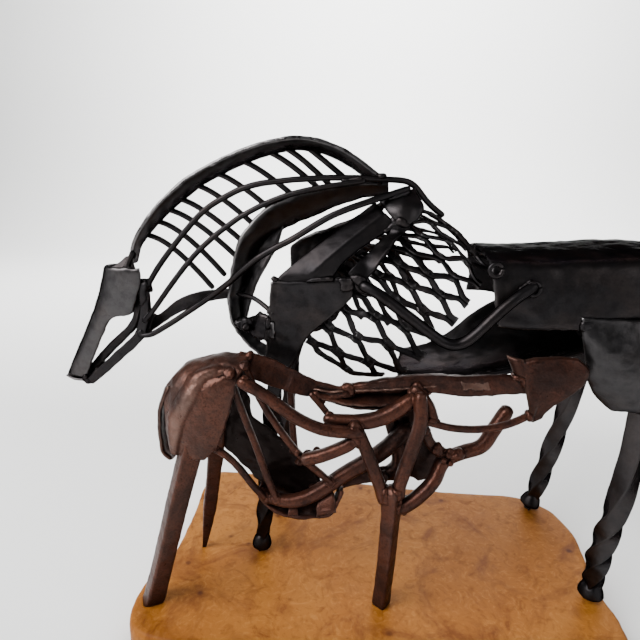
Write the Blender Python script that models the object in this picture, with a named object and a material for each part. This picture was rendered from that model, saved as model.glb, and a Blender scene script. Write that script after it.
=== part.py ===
# Mare and foal, a welded sculpture of steel bar, sheet and expanded metal on a burl slab.
# Millimetres inside the functions, metres in the objects. The mare faces -X, the foal +X,
# and the foal stands on the -Y side. The origin is on the slab's underside, under the middle
# of the whole piece.

import math

import bmesh
import bpy
import numpy as np
from mathutils import Vector

mm = 0.001
gap = 0.3                      # what touching pieces keep between them
planShift = (-25.0, 17.0)      # from the animals' own plan to the middle of the whole piece

slabHeight = 20.0
sheetThickness = 2.0
hindBarSide = 9.5
foreBarSide = 8.0
longRodRadius = 1.6
neckRibRadius = 1.2
hoofRadius = 7.5
hoofHeight = 12.0

nearForeY, farForeY = -22.0, 27.0      # where the mare's hooves stand, from her middle plane
nearHindY, farHindY = -38.0, 42.0
foalMiddle = -48.0                     # the foal's own middle plane
foalHalfWidth = 14.0

# base colour, roughness and metallic value of each finish
burlWood = ((0.43, 0.21, 0.06), 0.45, 0.0)
darkSteel = ((0.05, 0.042, 0.04), 0.42, 0.85)
rustSteel = ((0.17, 0.07, 0.035), 0.5, 0.7)


# ---- points, routes and closed shapes

def smooth(points, steps=3):
    """Points along a smooth curve through the given ones."""
    p = [np.array(q, float) for q in points]
    p = [2 * p[0] - p[1]] + p + [2 * p[-1] - p[-2]]
    out = []
    for a, b, c, d in zip(p, p[1:], p[2:], p[3:]):
        for k in range(steps):
            t = k / steps
            out.append(0.5 * (2 * b + (c - a) * t + (2 * a - 5 * b + 4 * c - d) * t * t
                              + (3 * b - a - 3 * c + d) * t ** 3))
    out.append(p[-2])
    return np.array(out)


def unit(v):
    return v / np.linalg.norm(v)


def tangents(path):
    return np.array([unit(t) for t in np.gradient(path, axis=0)])


def spread(values, count):
    """Values given along a route, read at each of its points."""
    values = np.atleast_1d(np.array(values, float))
    at = np.linspace(0, 1, count)
    if values.ndim == 1:
        return np.interp(at, np.linspace(0, 1, len(values)), values)
    return np.array([np.interp(at, np.linspace(0, 1, len(values)), c) for c in values.T]).T


def principled(name, colour, roughness, metallic):
    material = bpy.data.materials.new(name)
    material.use_nodes = True
    shader = material.node_tree.nodes["Principled BSDF"]
    shader.inputs["Base Color"].default_value = (*colour, 1)
    shader.inputs["Roughness"].default_value = roughness
    shader.inputs["Metallic"].default_value = metallic
    return material


def newObject(name, verts, faces, finish, round=True):
    mesh = bpy.data.meshes.new(name)
    mesh.from_pydata([Vector(v) * mm for v in verts], [], faces)
    bm = bmesh.new()
    bm.from_mesh(mesh)
    bmesh.ops.recalc_face_normals(bm, faces=bm.faces)
    bm.to_mesh(mesh)
    bm.free()
    if round:
        mesh.shade_smooth()
        mesh.set_sharp_from_angle(angle=math.radians(35))
    mesh.materials.append(principled(name, *finish))
    piece = bpy.data.objects.new(name, mesh)
    bpy.context.scene.collection.objects.link(piece)
    return piece


def stack(name, rings, finish, round=True):
    """A closed body through rings of equal count, with flat ends."""
    n = len(rings[0])
    verts = [v for ring in rings for v in ring]
    faces = [tuple(range(n)), tuple(range(len(verts) - n, len(verts)))]
    for i in range(len(rings) - 1):
        for k in range(n):
            a, b = i * n + k, i * n + (k + 1) % n
            faces.append((a, b, b + n, a + n))
    return newObject(name, verts, faces, finish, round)


def rod(name, route, radius, finish, sides=6, steps=3):
    """A round rod along a route; radius may be a list that runs along it."""
    path = smooth(route, steps)
    radii = spread(radius, len(path))
    along = tangents(path)
    side = unit(np.cross(along[0], (0.3, 1, 0.2)))
    rings = []
    for point, t, r in zip(path, along, radii):
        side = unit(side - t * side.dot(t))
        other = np.cross(t, side)
        angles = [2 * math.pi * (k + 0.5) / sides for k in range(sides)]
        rings.append([point + r * (math.cos(a) * side + math.sin(a) * other) for a in angles])
    return stack(name, rings, finish)


def bar(name, route, across, width, thickness, finish, steps=3, round=True):
    """A flat bar along a route; across is the direction of its width, given along the route."""
    path = smooth(route, steps)
    wide, thick = spread(width, len(path)) / 2, spread(thickness, len(path)) / 2
    rings = []
    for point, t, a, w, h in zip(path, tangents(path), spread(across, len(path)), wide, thick):
        side = unit(a - t * a.dot(t))
        up = np.cross(t, side)
        rings.append([point - w * side - h * up, point + w * side - h * up,
                      point + w * side + h * up, point - w * side + h * up])
    return stack(name, rings, finish, round)


def twistedBar(name, route, side, turns, finish, steps=3):
    """A square bar along a route; turns are its quarter turns, given along the route."""
    path = smooth(route, steps)
    quarter = spread(turns, len(path)) * math.pi / 2
    half = spread(side, len(path)) / math.sqrt(2)
    rings = []
    for point, t, turn, r in zip(path, tangents(path), quarter, half):
        flat = unit(np.array((0, 1, 0)) - t * t[1])
        other = np.cross(t, flat)
        angles = [turn + math.pi * (0.25 + 0.5 * k) for k in range(4)]
        rings.append([point + r * (math.cos(a) * flat + math.sin(a) * other) for a in angles])
    return stack(name, rings, finish, round=False)


def ball(name, centre, radii, finish, sides=10, rows=6):
    """A ball with a small flat above and below, at its full height."""
    rings = []
    rise = radii[2] / math.cos(math.pi / rows)
    for i in range(1, rows):
        polar = math.pi * i / rows
        rings.append([(centre[0] + radii[0] * math.sin(polar) * math.cos(2 * math.pi * k / sides),
                       centre[1] + radii[1] * math.sin(polar) * math.sin(2 * math.pi * k / sides),
                       centre[2] + rise * math.cos(polar)) for k in range(sides)])
    return stack(name, rings, finish)


def sheet(name, rows, thickness, finish):
    """A curved sheet: a grid of points given a thickness along its own normals."""
    grid = np.array(rows, float)
    m, n = grid.shape[:2]
    normal = np.cross(np.gradient(grid, axis=0), np.gradient(grid, axis=1))
    normal /= np.linalg.norm(normal, axis=2, keepdims=True)
    verts = np.concatenate([(grid + normal * thickness / 2).reshape(-1, 3),
                            (grid - normal * thickness / 2).reshape(-1, 3)])
    faces = []
    for i in range(m - 1):
        for k in range(n - 1):
            quad = (i * n + k, i * n + k + 1, (i + 1) * n + k + 1, (i + 1) * n + k)
            faces += [quad, tuple(v + m * n for v in reversed(quad))]
    rim = ([k for k in range(n)] + [i * n + n - 1 for i in range(1, m)]
           + [(m - 1) * n + k for k in range(n - 2, -1, -1)] + [i * n for i in range(m - 2, 0, -1)])
    for a, b in zip(rim, rim[1:] + rim[:1]):
        faces.append((a, a + m * n, b + m * n, b))
    return newObject(name, verts, faces, finish)


def plate(name, outline, depth, thickness, finish):
    """A flat-cut plate from an outline in X and Z; depth gives its Y at a point."""
    front = [(x, depth(x, z) - thickness / 2, z) for x, z in outline]
    back = [(x, depth(x, z) + thickness / 2, z) for x, z in outline]
    return stack(name, [front, back], finish, round=False)


# ---- welded joints: pieces are fused, or coped to their neighbours

def applied(piece, tool, operation):
    cut = piece.modifiers.new(operation, "BOOLEAN")
    cut.operation = operation
    cut.solver = "EXACT"
    cut.object = tool
    bpy.context.view_layer.update()
    graph = bpy.context.evaluated_depsgraph_get()
    mesh = bpy.data.meshes.new_from_object(piece.evaluated_get(graph))
    piece.modifiers.clear()
    piece.data = mesh


def fuse(piece, others):
    for other in others:
        applied(piece, other, "UNION")
        bpy.data.objects.remove(other)
    return piece


def grown(piece, by):
    """A copy whose faces all stand this far outside the piece's own."""
    copy = piece.copy()
    copy.data = piece.data.copy()
    bpy.context.scene.collection.objects.link(copy)
    bm = bmesh.new()
    bm.from_mesh(copy.data)
    moves = []
    for v in bm.verts:
        planes = np.array([f.normal for f in v.link_faces])
        moves.append(np.linalg.pinv(planes, rcond=0.15) @ np.ones(len(planes)) * by * mm)
    for v, move in zip(bm.verts, moves):
        v.co += Vector(move)
    bm.to_mesh(copy.data)
    bm.free()
    return copy


def keepLargest(piece):
    """Drop the offcuts that a cope leaves on the far side of its neighbour."""
    bm = bmesh.new()
    bm.from_mesh(piece.data)
    left, islands = set(bm.verts), []
    while left:
        island, reach = set(), [left.pop()]
        while reach:
            v = reach.pop()
            island.add(v)
            reach += [w for w in (e.other_vert(v) for e in v.link_edges) if w in left]
            left -= set(reach)
        islands.append(island)
    islands.sort(key=len)
    bmesh.ops.delete(bm, geom=[v for island in islands[:-1] for v in island], context="VERTS")
    bm.to_mesh(piece.data)
    bm.free()


def cope(piece, *neighbours):
    """Trim a piece where it meets its neighbours, leaving the weld gap."""
    for neighbour in neighbours:
        tool = grown(neighbour, gap)
        applied(piece, tool, "DIFFERENCE")
        bpy.data.objects.remove(tool)
    keepLargest(piece)


# ---- the slab

def burlSlab(wood):
    outline = [(-96, 58), (-78, 62), (-30, 60), (16, 60), (60, 57), (100, 56), (138, 56), (150, 51),
               (163, 40), (169, 18), (168, -4), (165, -28), (168, -52), (163, -76), (146, -90),
               (100, -94), (52, -91), (6, -96), (-44, -93), (-84, -90), (-97, -76), (-98, -52),
               (-91, -36), (-93, 4), (-97, 34)]
    edge = [(1.5, 0), (0, 4), (0, 16.5), (2.0, slabHeight)]
    rings = []
    for inset, z in edge:
        rings.append([(x - math.copysign(inset, x - 36), y - math.copysign(inset, y + 18), z)
                      for x, y in outline])
    return stack("burl_slab", rings, wood)


# ---- the mare's head and neck

def facePlate(steel):
    """The rolled sheet of the face: wide at the brow, its cheek cut away above the jaw."""
    # height, front edge, near rear edge, half width
    sections = [(197, -133, -107, 10), (188, -135, -104, 10), (180, -137, -104, 10), (172, -140, -110, 9.5),
                (165, -143.5, -127, 8.5), (152, -150, -136, 8), (138, -159, -145, 7), (126.3, -165.5, -151.5, 6)]
    rows = []
    for z, front, rear, half in sections:
        row = []
        for k in range(7):
            swing = math.radians(-90 + 150 * k / 6)
            row.append((rear + (front - rear) * max(0, math.cos(swing)) ** 0.7,
                        half * math.sin(swing), z))
        rows.append(row)
    return sheet("mare_face_plate", rows, sheetThickness, steel)


def muzzleCap(steel):
    rows = [[(x, y, z) for y in (-half, half)]
            for x, z, half in ((-167, 124.7, 3), (-160, 123.8, 5.5), (-151, 123.4, 5.5))]
    return sheet("mare_muzzle_cap", rows, sheetThickness, steel)


def jawBar(name, y, width, steel):
    """One of the two square bars of the jaw; width runs from its muzzle end to its upper end."""
    route = [(-152, y, 123), (-137, y, 134.5), (-124, y, 145), (-112, y, 155), (-107, y, 165),
             (-105, y, 178), (-106, y, 189)]
    return bar(name, route, [(0, 1, 0)], width, 4, steel, steps=2)


def foreheadLink(steel):
    """The short bar that joins the brow to the mane bar."""
    route = [(-114.5, -7.4, 192), (-114.5, -7, 199), (-114, -4.5, 207)]
    return bar("mare_forehead_link", route, [(0, 1, 0)], 4, 3, steel)


maneRoute = [(-114, 0, 205), (-112, 0, 213), (-98, 0, 229), (-76, 0, 246), (-47, 0, 260),
             (-20, 0, 266), (3, -1, 264), (20, -3, 256), (33, -6, 246)]


def maneBar(steel):
    across = [(0, 1, 0), (0.05, 1, -0.05), (0.05, 1, -0.1), (0.05, 1, -0.2), (0, 1, -0.3),
              (-0.1, 1, -0.4), (-0.25, 1, -0.5)]
    return bar("mare_mane_comb", maneRoute, across, [12, 16, 16, 16, 15], 3, steel, steps=3)


def maneComb(steel):
    """The mane bar with the thin rods welded along it, all sweeping down and back."""
    comb = maneBar(steel)
    line = smooth(maneRoute, 8)
    starts = [(-104, 214), (-96, 222), (-88, 229), (-81, 234), (-71, 242), (-61, 248), (-47, 255),
              (-31, 260), (-21, 261), (-10, 261)]
    ends = [(-66, 184), (-58, 192), (-50, 203), (-46, 212), (-37, 220), (-26, 228), (-13, 236),
            (-2, 243), (5, 244), (13, 248)]
    for (x0, z0), (x1, z1) in zip(starts, ends):
        sag = 0.04 * math.dist((x0, z0), (x1, z1))
        root = min(line, key=lambda q: math.dist((q[0], q[2]), (x0, z0)))
        route = [(root[0], 5, root[2]), (x0, 5, z0),
                 (x0 + 0.4 * (x1 - x0), 4, z0 + 0.34 * (z1 - z0) + sag), (x1, 2, z1)]
        fuse(comb, [rod("neck_rib", route, neckRibRadius, steel, sides=5, steps=1)])
    return comb


def neckRods(steel):
    upper = [(-105, -6.5, 185), (-100, -8, 191.5), (-90, -10, 204), (-68, -10, 228), (-52, -11, 238),
             (-33, -12, 245), (5, -12, 248), (34, -12, 247), (48, -8, 246), (53, -6, 241), (59, -4, 234),
             (66, -3, 228.9)]
    middle = [(-106, -8, 166), (-99, -11, 173), (-85, -13, 190), (-68, -13, 209), (-44, -14, 227),
              (-20, -15, 238), (2, -15, 243), (22, -14, 245.8)]
    lower = [(-110, -7, 157.5), (-103, -9, 156.5), (-70, -12, 177.5), (-50, -19, 191.5), (-31, -25, 207),
             (-12, -27, 217), (8, -27, 229), (27, -25, 236), (38, -22, 239.5), (46, -18.5, 242)]
    return [rod("mare_neck_rod_upper", upper, longRodRadius, steel, steps=2),
            rod("mare_neck_rod_middle", middle, longRodRadius * 0.95, steel, steps=2),
            rod("mare_neck_rod_lower", lower, longRodRadius * 1.05, steel, steps=2)]


def throatBar(steel):
    route = [(-110, -1.5, 159), (-98, -1, 166), (-87, -1, 173.5), (-76, -1, 178.5), (-64, 0, 181),
             (-45, 0, 183)]
    turning = [(-0.5, 0.3, 1), (-0.5, 0.3, 1), (-0.5, 0, 1), (-0.3, -0.4, 1), (-0.2, -0.8, 1)]
    return bar("mare_throat_bar", route, turning, [8, 6, 7, 7, 6.5, 7], 2.5, steel)


def chestBar(steel):
    route = [(36, -4, 242.5), (20, -4, 241), (2, -6, 236.5), (-22, -6, 227), (-38, -6, 213), (-45, -6, 197),
             (-46, -6, 178), (-41, -6, 162), (-28, -7, 148)]
    inward = [(0, 1, -0.45), (0, 1, -0.45), (0.15, 1, -0.45), (0.35, 1, -0.35), (0.5, 1, -0.1), (0.5, 1, 0),
              (0.5, 1, 0.2), (0.3, 1, 0.35)]
    return bar("mare_chest_bar", route, inward, [10, 14, 20, 22, 22, 20, 16], 3, steel)


# ---- the mare's shoulder and withers

def shoulderPlate(steel):
    outline = [(-22, 197), (-17, 194), (-8, 195), (2, 197), (19, 198), (22, 191), (12, 180),
               (-1, 168), (-8, 158), (-14, 147), (-28, 151), (-25, 170)]
    return plate("mare_shoulder_plate_near", outline, lambda x, z: -31 - 0.04 * (x + 22), 2.5, steel)


def foldedShoulderBar(steel):
    """A folded strip from the withers down to the shoulder plate's top."""
    rows = [[(-21, -30, 196.5), (-3, -32.6, 197), (9, -33, 198)],
            [(4, -26, 216), (11, -30, 213), (20, -30, 211)],
            [(30, -18.5, 235), (35, -23, 230.5), (41, -24.5, 225)]]
    return sheet("mare_shoulder_bar_folded", rows, sheetThickness, steel)


def rearShoulderBar(steel):
    route = [(45, -27, 226), (41, -27.5, 221), (36, -31, 215), (29, -35.2, 207), (21, -36.6, 199)]
    return bar("mare_shoulder_bar_rear", route, [(1, 0.1, 0.7)], [6, 8, 9.5, 9.5, 8], 2.5, steel, steps=2)


def farShoulderPlate(steel):
    rows = [[(-24, 27, 150), (-6, 28, 152), (6, 28, 160)],
            [(-30, 28, 176), (-8, 30, 178), (18, 30, 182)],
            [(-22, 27, 204), (0, 28, 208), (26, 28, 210)],
            [(8, 14, 230), (22, 7, 236), (37, 1, 240)]]
    return sheet("mare_shoulder_plate_far", rows, sheetThickness, steel)


def withersFlap(steel):
    """A formed flap over the top of the shoulder, where the neck rods meet the withers."""
    rows = [[(33, -19, 236), (41, -18, 240), (50, -14, 242)],
            [(37, -25, 231), (45, -26, 233), (54, -24, 233)],
            [(42, -26, 225), (46, -28, 225), (51, -26, 227)]]
    return sheet("mare_withers_flap", rows, sheetThickness, steel)


def chestWeb(steel):
    """The rough web that ties the chest bar to the shoulder plate, running out towards it."""
    outline = [(-47, 168), (-44, 170), (-38, 171), (-33, 175), (-28, 177), (-22, 173), (-22, 165), (-34, 162),
               (-44, 164)]
    return plate("mare_chest_web", outline, lambda x, z: -15 - 0.8 * max(0, x + 44), 3, steel)


def chestRod(steel):
    route = [(-46, -12, 184), (-41.5, -16, 184.5), (-34, -22, 184), (-25, -29, 180), (-22, -32, 178)]
    return rod("mare_chest_rod", route, 1.4, steel, steps=1)


def sideRod(steel):
    """The bent rod along the ribs, from the shoulder down and up to the flank."""
    route = [(15, -34, 195), (21, -38, 196.5), (28, -41.5, 195.5), (40, -44, 188), (52, -44, 179),
             (63, -44, 171), (71, -44, 167), (78, -44, 171), (87, -43.5, 181), (97, -42, 191),
             (107, -39, 197.5)]
    return rod("mare_side_rod", route, 3.0, steel, steps=2)


# ---- the mare's barrel

def barrel(x, around):
    """The point of the ribcage at x; around is 0 at the top and grows down the far side."""
    top = np.interp(x, (-10, 40, 57, 72, 84, 95), (224, 236, 231, 222, 210, 205))
    low = np.interp(x, (-10, 20, 45, 70, 95), (150, 134, 136, 146, 150))
    wide = np.interp(x, (-10, 20, 40, 60, 95), (21, 28, 31, 35, 34.5))
    return np.array((x, wide * math.sin(around), (top + low) / 2 + (top - low) / 2 * math.cos(around)))


def meshHolds(x, around):
    """Whether the cut edges of the expanded mesh leave a cell at this place; near side below zero."""
    side = abs(around)
    if side > math.radians(155 if around < 0 else 100):
        return False
    front = np.interp(side, (0, 0.9, 1.4, 1.9, 2.3, 2.7), (58, 46, 30, 4, 0, 12))
    rear = np.interp(side, (0, 1.0, 1.5, 1.9, 2.2, 2.7), (78, 78, 73, 66, 56, 44))
    return front < x < rear


def ribMesh(steel):
    """Expanded metal wrapped round the ribcage: diamonds that share their strands."""
    longPitch, shortPitch, strand, thickness = 30.5, 12.7, 3.2, 1.8
    tilt = math.radians(41)
    girth = 43.0                                     # length of the surface per radian
    halfLong, halfShort = longPitch / 2, shortPitch / 2
    reach = halfLong * halfShort / math.hypot(halfLong, halfShort)
    hole = 1 - strand / 2 / reach

    def onBarrel(a, b):
        x = 45 + a * math.cos(tilt) + b * math.sin(tilt)
        around = (a * math.sin(tilt) - b * math.cos(tilt)) / girth
        return x, -around                            # the long way runs down the near side

    cells = set()
    for i in range(-12, 13):
        for j in range(-20, 21):
            if (i + j) % 2 == 0 and meshHolds(*onBarrel(i * halfLong, j * halfShort)):
                cells.add((i, j))
    cells = {(i, j) for i, j in cells
             if sum((i + a, j + b) in cells for a in (-1, 1) for b in (-1, 1)) > 1}
    verts, faces, index = [], [], {}

    def corner(a, b, side):
        key = (round(a, 3), round(b, 3), side)
        if key not in index:
            x, around = onBarrel(a, b)
            point = barrel(x, around)
            out = unit(np.cross(barrel(x, around + 0.01) - point, barrel(x + 0.1, around) - point))
            index[key] = len(verts)
            verts.append(point + out * side * thickness / 2)
        return index[key]

    for i, j in sorted(cells):
        a, b = i * halfLong, j * halfShort
        ways = [(1, 0), (0, 1), (-1, 0), (0, -1)]
        for side in (1, -1):
            outer = [corner(a + halfLong * p, b + halfShort * q, side) for p, q in ways]
            inner = [corner(a + halfLong * hole * p, b + halfShort * hole * q, side) for p, q in ways]
            for k in range(4):
                quad = (outer[k], outer[k - 1], inner[k - 1], inner[k])
                faces.append(quad if side > 0 else quad[::-1])
        for k, (p, q) in enumerate(ways):
            r, s = ways[k - 1]
            top = [corner(a + halfLong * hole * u, b + halfShort * hole * v, 1) for u, v in ((p, q), (r, s))]
            low = [corner(a + halfLong * hole * u, b + halfShort * hole * v, -1) for u, v in ((p, q), (r, s))]
            faces.append((top[0], top[1], low[1], low[0]))
            if (i + (1 if p + r > 0 else -1), j + (1 if q + s > 0 else -1)) not in cells:
                top = [corner(a + halfLong * u, b + halfShort * v, 1) for u, v in ((p, q), (r, s))]
                low = [corner(a + halfLong * u, b + halfShort * v, -1) for u, v in ((p, q), (r, s))]
                faces.append((top[1], top[0], low[0], low[1]))
    return newObject("mare_rib_mesh", verts, faces, steel, round=False)


def backSheet(steel):
    """The sheet bent over the hindquarters, from behind the ribs to the dock."""
    section = [(-1.02, -35), (-1.0, -20), (-0.93, -7), (-0.74, -3), (-0.3, 0), (0.3, 0.5),
               (0.74, -2.5), (0.93, -8), (1.0, -20), (1.02, -35)]
    stations = [(89.5, 211.5, 36, 3.5), (102, 211, 37, 1.5), (118, 211.5, 38, 0), (140, 213, 38.5, -2),
                (160, 214, 37.5, -3), (178, 212, 34, -2), (192, 205, 28, 0), (200, 194, 21, 0)]
    rows = []
    for x, top, half, slant in stations:
        fall = 1 if x < 150 else 0.9
        rows.append([(x + slant * (-drop - 17) / 18, half * y, top + drop * fall) for y, drop in section])
        rows[-1][-1] = (x, half * 1.02, top - fall * np.interp(x, (102, 118), (31, 35)))
    return sheet("mare_back_sheet", rows, sheetThickness, steel)


def bellyTrough(steel):
    """The curved sheet under the belly; its far side rises towards the flank."""
    rows = []
    # place along the body, height of the floor, rise of the far edge, its distance from the middle
    for x, low, rise, reach in ((46, 139, 3, 26), (62, 138, 8, 28), (76, 139, 14, 31), (92, 142, 24, 35),
                                (110, 147, 28, 38.6), (130, 154, 22.2, 39.2), (148, 161, 17.3, 39)):
        rows.append([(x, -14, low), (x, 0, low - 1.5), (x + 1, 0.45 * reach, low + 0.1 * rise),
                     (x + 2, 0.8 * reach, low + 0.5 * rise), (x + 3, reach, low + rise)])
    return sheet("mare_belly_trough", rows, sheetThickness, steel)


def bellyRod(steel):
    route = [(88, -16, 141.2), (110, -16, 147), (130, -16, 154), (147, -16, 160.6)]
    return rod("mare_belly_rod", route, 1.7, steel, steps=2)


# ---- the mare's hindquarters and legs

def thighPlate(name, side, steel):
    """A curved plate over one thigh, narrowing down to the leg."""
    rows = []
    # height, front edge, rear edge, how far out the edges lie, and the bulge between them
    for z, front, rear, out, bulge in ((181, 130, 184, 41.3, 2.4), (170, 132, 182, 42.6, 3),
                                       (156, 135, 180, 43.2, 3), (145, 140, 178, 42.4, 2),
                                       (137, 149, 174, 41.2, 0.8)):
        row = []
        for k in range(6):
            bend = 1 - (2 * k / 5 - 1) ** 2
            row.append((front + (rear - front) * k / 5, side * (out + bulge * bend), z))
        rows.append(row)
    return sheet(name, rows, sheetThickness, steel)


def forgedLeg(name, route, side, turns, foot, steel):
    """A square bar, part twisted, ending in a forged ball for a hoof."""
    leg = twistedBar(name, route, side, turns, steel)
    hoof = ball(name + "_ball", (foot[0], foot[1], slabHeight + gap + hoofHeight / 2),
                (hoofRadius, hoofRadius, hoofHeight / 2), steel)
    return fuse(leg, [hoof])


def mareLegs(steel):
    foot = slabHeight + 6
    nearHind = [(166, -36.6, 152), (165.5, -36.8, 134), (164.5, -38, 112), (162, -39, 88), (158.5, -39, 64),
                (156, -39, 46), (156, nearHindY, foot)]
    farHind = [(166, 36.6, 152), (165.5, 37.2, 134), (163.5, 40, 114), (159, 42, 84), (152.5, 42, 52),
               (147, farHindY, foot)]
    nearFore = [(-18, -25.6, 172), (-22, -24.8, 146), (-26, -24, 118), (-29, -23, 88), (-32, -23, 54),
                (-35, nearForeY, foot)]
    farFore = [(-12, 20, 172), (-20, 21.5, 144), (-25, 26, 110), (-28, 26, 74), (-31, farForeY, foot)]
    return [forgedLeg("mare_hind_leg_near", nearHind, hindBarSide, [0, 0, 0, 0, 1, 3, 4],
                      nearHind[-1], steel),
            forgedLeg("mare_hind_leg_far", farHind, hindBarSide, [0, 0.5, 2, 3.5, 4.5], farHind[-1], steel),
            forgedLeg("mare_fore_leg_near", nearFore, foreBarSide, [0, 0.5, 1.5, 3, 5, 6],
                      nearFore[-1], steel),
            forgedLeg("mare_fore_leg_far", farFore, foreBarSide, [0, 1, 2.5, 4, 5], farFore[-1], steel)]


def tail(steel):
    """Three drawn rods welded together at the dock."""
    strands = []
    for k, (y, end) in enumerate(((-2.2, (211, -9, 96)), (2.2, (209, 8, 104)), (0, (216, 1, 84)))):
        route = [(202.8, y, 197), (208.5, y * 1.2, 190), (214, y * 1.6, 170), (214, y * 2, 142), end]
        strands.append(rod(f"mare_tail_{k}", route, [2.6, 2.6, 2.3, 1.8, 1.0], steel, steps=2))
    strands[0].name = "mare_tail"
    return fuse(strands[0], strands[1:])


# ---- the foal

def foalThigh(name, y, side, steel):
    """One haunch plate; its front edge is cut to a curve and its foot is ragged."""
    rows = [[(-70, y, 143), (-56, y + side, 149), (-40, y, 152)],
            [(-74, y, 134), (-58, y + side * 2.5, 138), (-38, y, 142)],
            [(-74, y, 121), (-59, y + side * 2.5, 125), (-43, y, 127)],
            [(-71, y, 109), (-58, y + side * 1.5, 108), (-46, y, 115)]]
    return sheet(name, rows, 2.4, steel)


def foalRump(steel):
    """The sheet formed over the rump, from the loin to above the tail."""
    rows = []
    for x, top, drop in ((-31, 160, 5), (-45, 161.5, 6), (-58, 159, 9), (-68, 153, 10), (-75, 144, 8)):
        rows.append([(x + lean, foalMiddle + foalHalfWidth * across, top - drop * abs(across) ** 2.5)
                     for across, lean in ((-1.08, 2), (-0.95, 1), (-0.6, 0), (0, 0), (0.6, 0), (0.95, 1))])
    return sheet("foal_rump_sheet", rows, sheetThickness, steel)


def foalTailStrip(steel):
    """The lip that bows out behind the haunch."""
    route = [(-74, -55, 139), (-78, -55, 133), (-81, -54, 124), (-81, -53, 115), (-78, -52, 106),
             (-76, -52, 100)]
    return bar("foal_tail_strip", route, [(0, 1, 0)], [8, 9, 10, 12, 12, 8], sheetThickness, steel, steps=2)


def foalLegs(steel):
    nearHind = [(-60, -56, 122), (-63, -59, 106), (-66, -62, 94), (-71, -66, 74), (-79, -67, 45),
                (-84, -68, 28), (-86, -68, 19)]
    farHind = [(-54, -38.6, 120), (-56, -37.4, 106), (-58, -34, 92), (-63, -29, 68), (-68, -26, 44),
               (-73, -24, 19)]
    nearFore = [(43, -60, 96), (43, -59, 78), (42, -58, 54), (41, -56, 36), (40, -55, 19)]
    return [rod("foal_hind_leg_near", nearHind, [4.6, 4.4, 4.0, 3.8, 4.6], steel, sides=6, steps=1),
            rod("foal_hind_leg_far", farHind, [3.8, 3.6, 3.2, 2.8, 1.6], steel, sides=6, steps=1),
            rod("foal_fore_leg_near", nearFore, [4.6, 3.9, 3.7, 3.7, 4.3], steel, sides=6, steps=1)]


def foalSpine(steel):
    route = [(-36, -48, 157.5), (-16, -48, 151), (-3, -48, 146), (10, -48, 143), (21, -48, 143)]
    return bar("foal_spine_strap", route, [(0, 0.35, 1)], [9, 10, 9, 7, 5], 3, steel, steps=2)


def foalWithersLeaf(steel):
    rows = [[(6, -50, 139), (20, -51, 136), (34, -51, 135.5), (48, -50, 138.5)],
            [(9, -40, 137.5), (20, -40, 134), (34, -40, 133), (45, -40, 137)]]
    return sheet("foal_withers_leaf", rows, sheetThickness, steel)


def foalNeck(steel):
    route = [(18, -47, 143.5), (40, -47, 147), (60, -47, 149), (78, -47, 148.5), (104, -47, 150)]
    return bar("foal_neck_bar", route, [(0, 0, 1)], [4, 8, 11, 12, 9], 5, steel, steps=2)


def foalHead(steel):
    outline = [(101, 162), (107, 164.5), (118, 165.7), (126, 165.5), (131, 161.5), (131.5, 157), (129, 151.5),
               (120, 144), (115, 138.5), (113, 134.5), (109.5, 133), (107, 136), (108, 141), (105.5, 148),
               (103.5, 154)]
    return plate("foal_head_plate", outline, lambda x, z: -50, 4, steel)


def foalEar(steel):
    return bar("foal_ear", [(96, -47, 163), (98, -47.5, 159), (101, -48, 154.5)], [(0, 1, 0)], 3, 2, steel)


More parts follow.
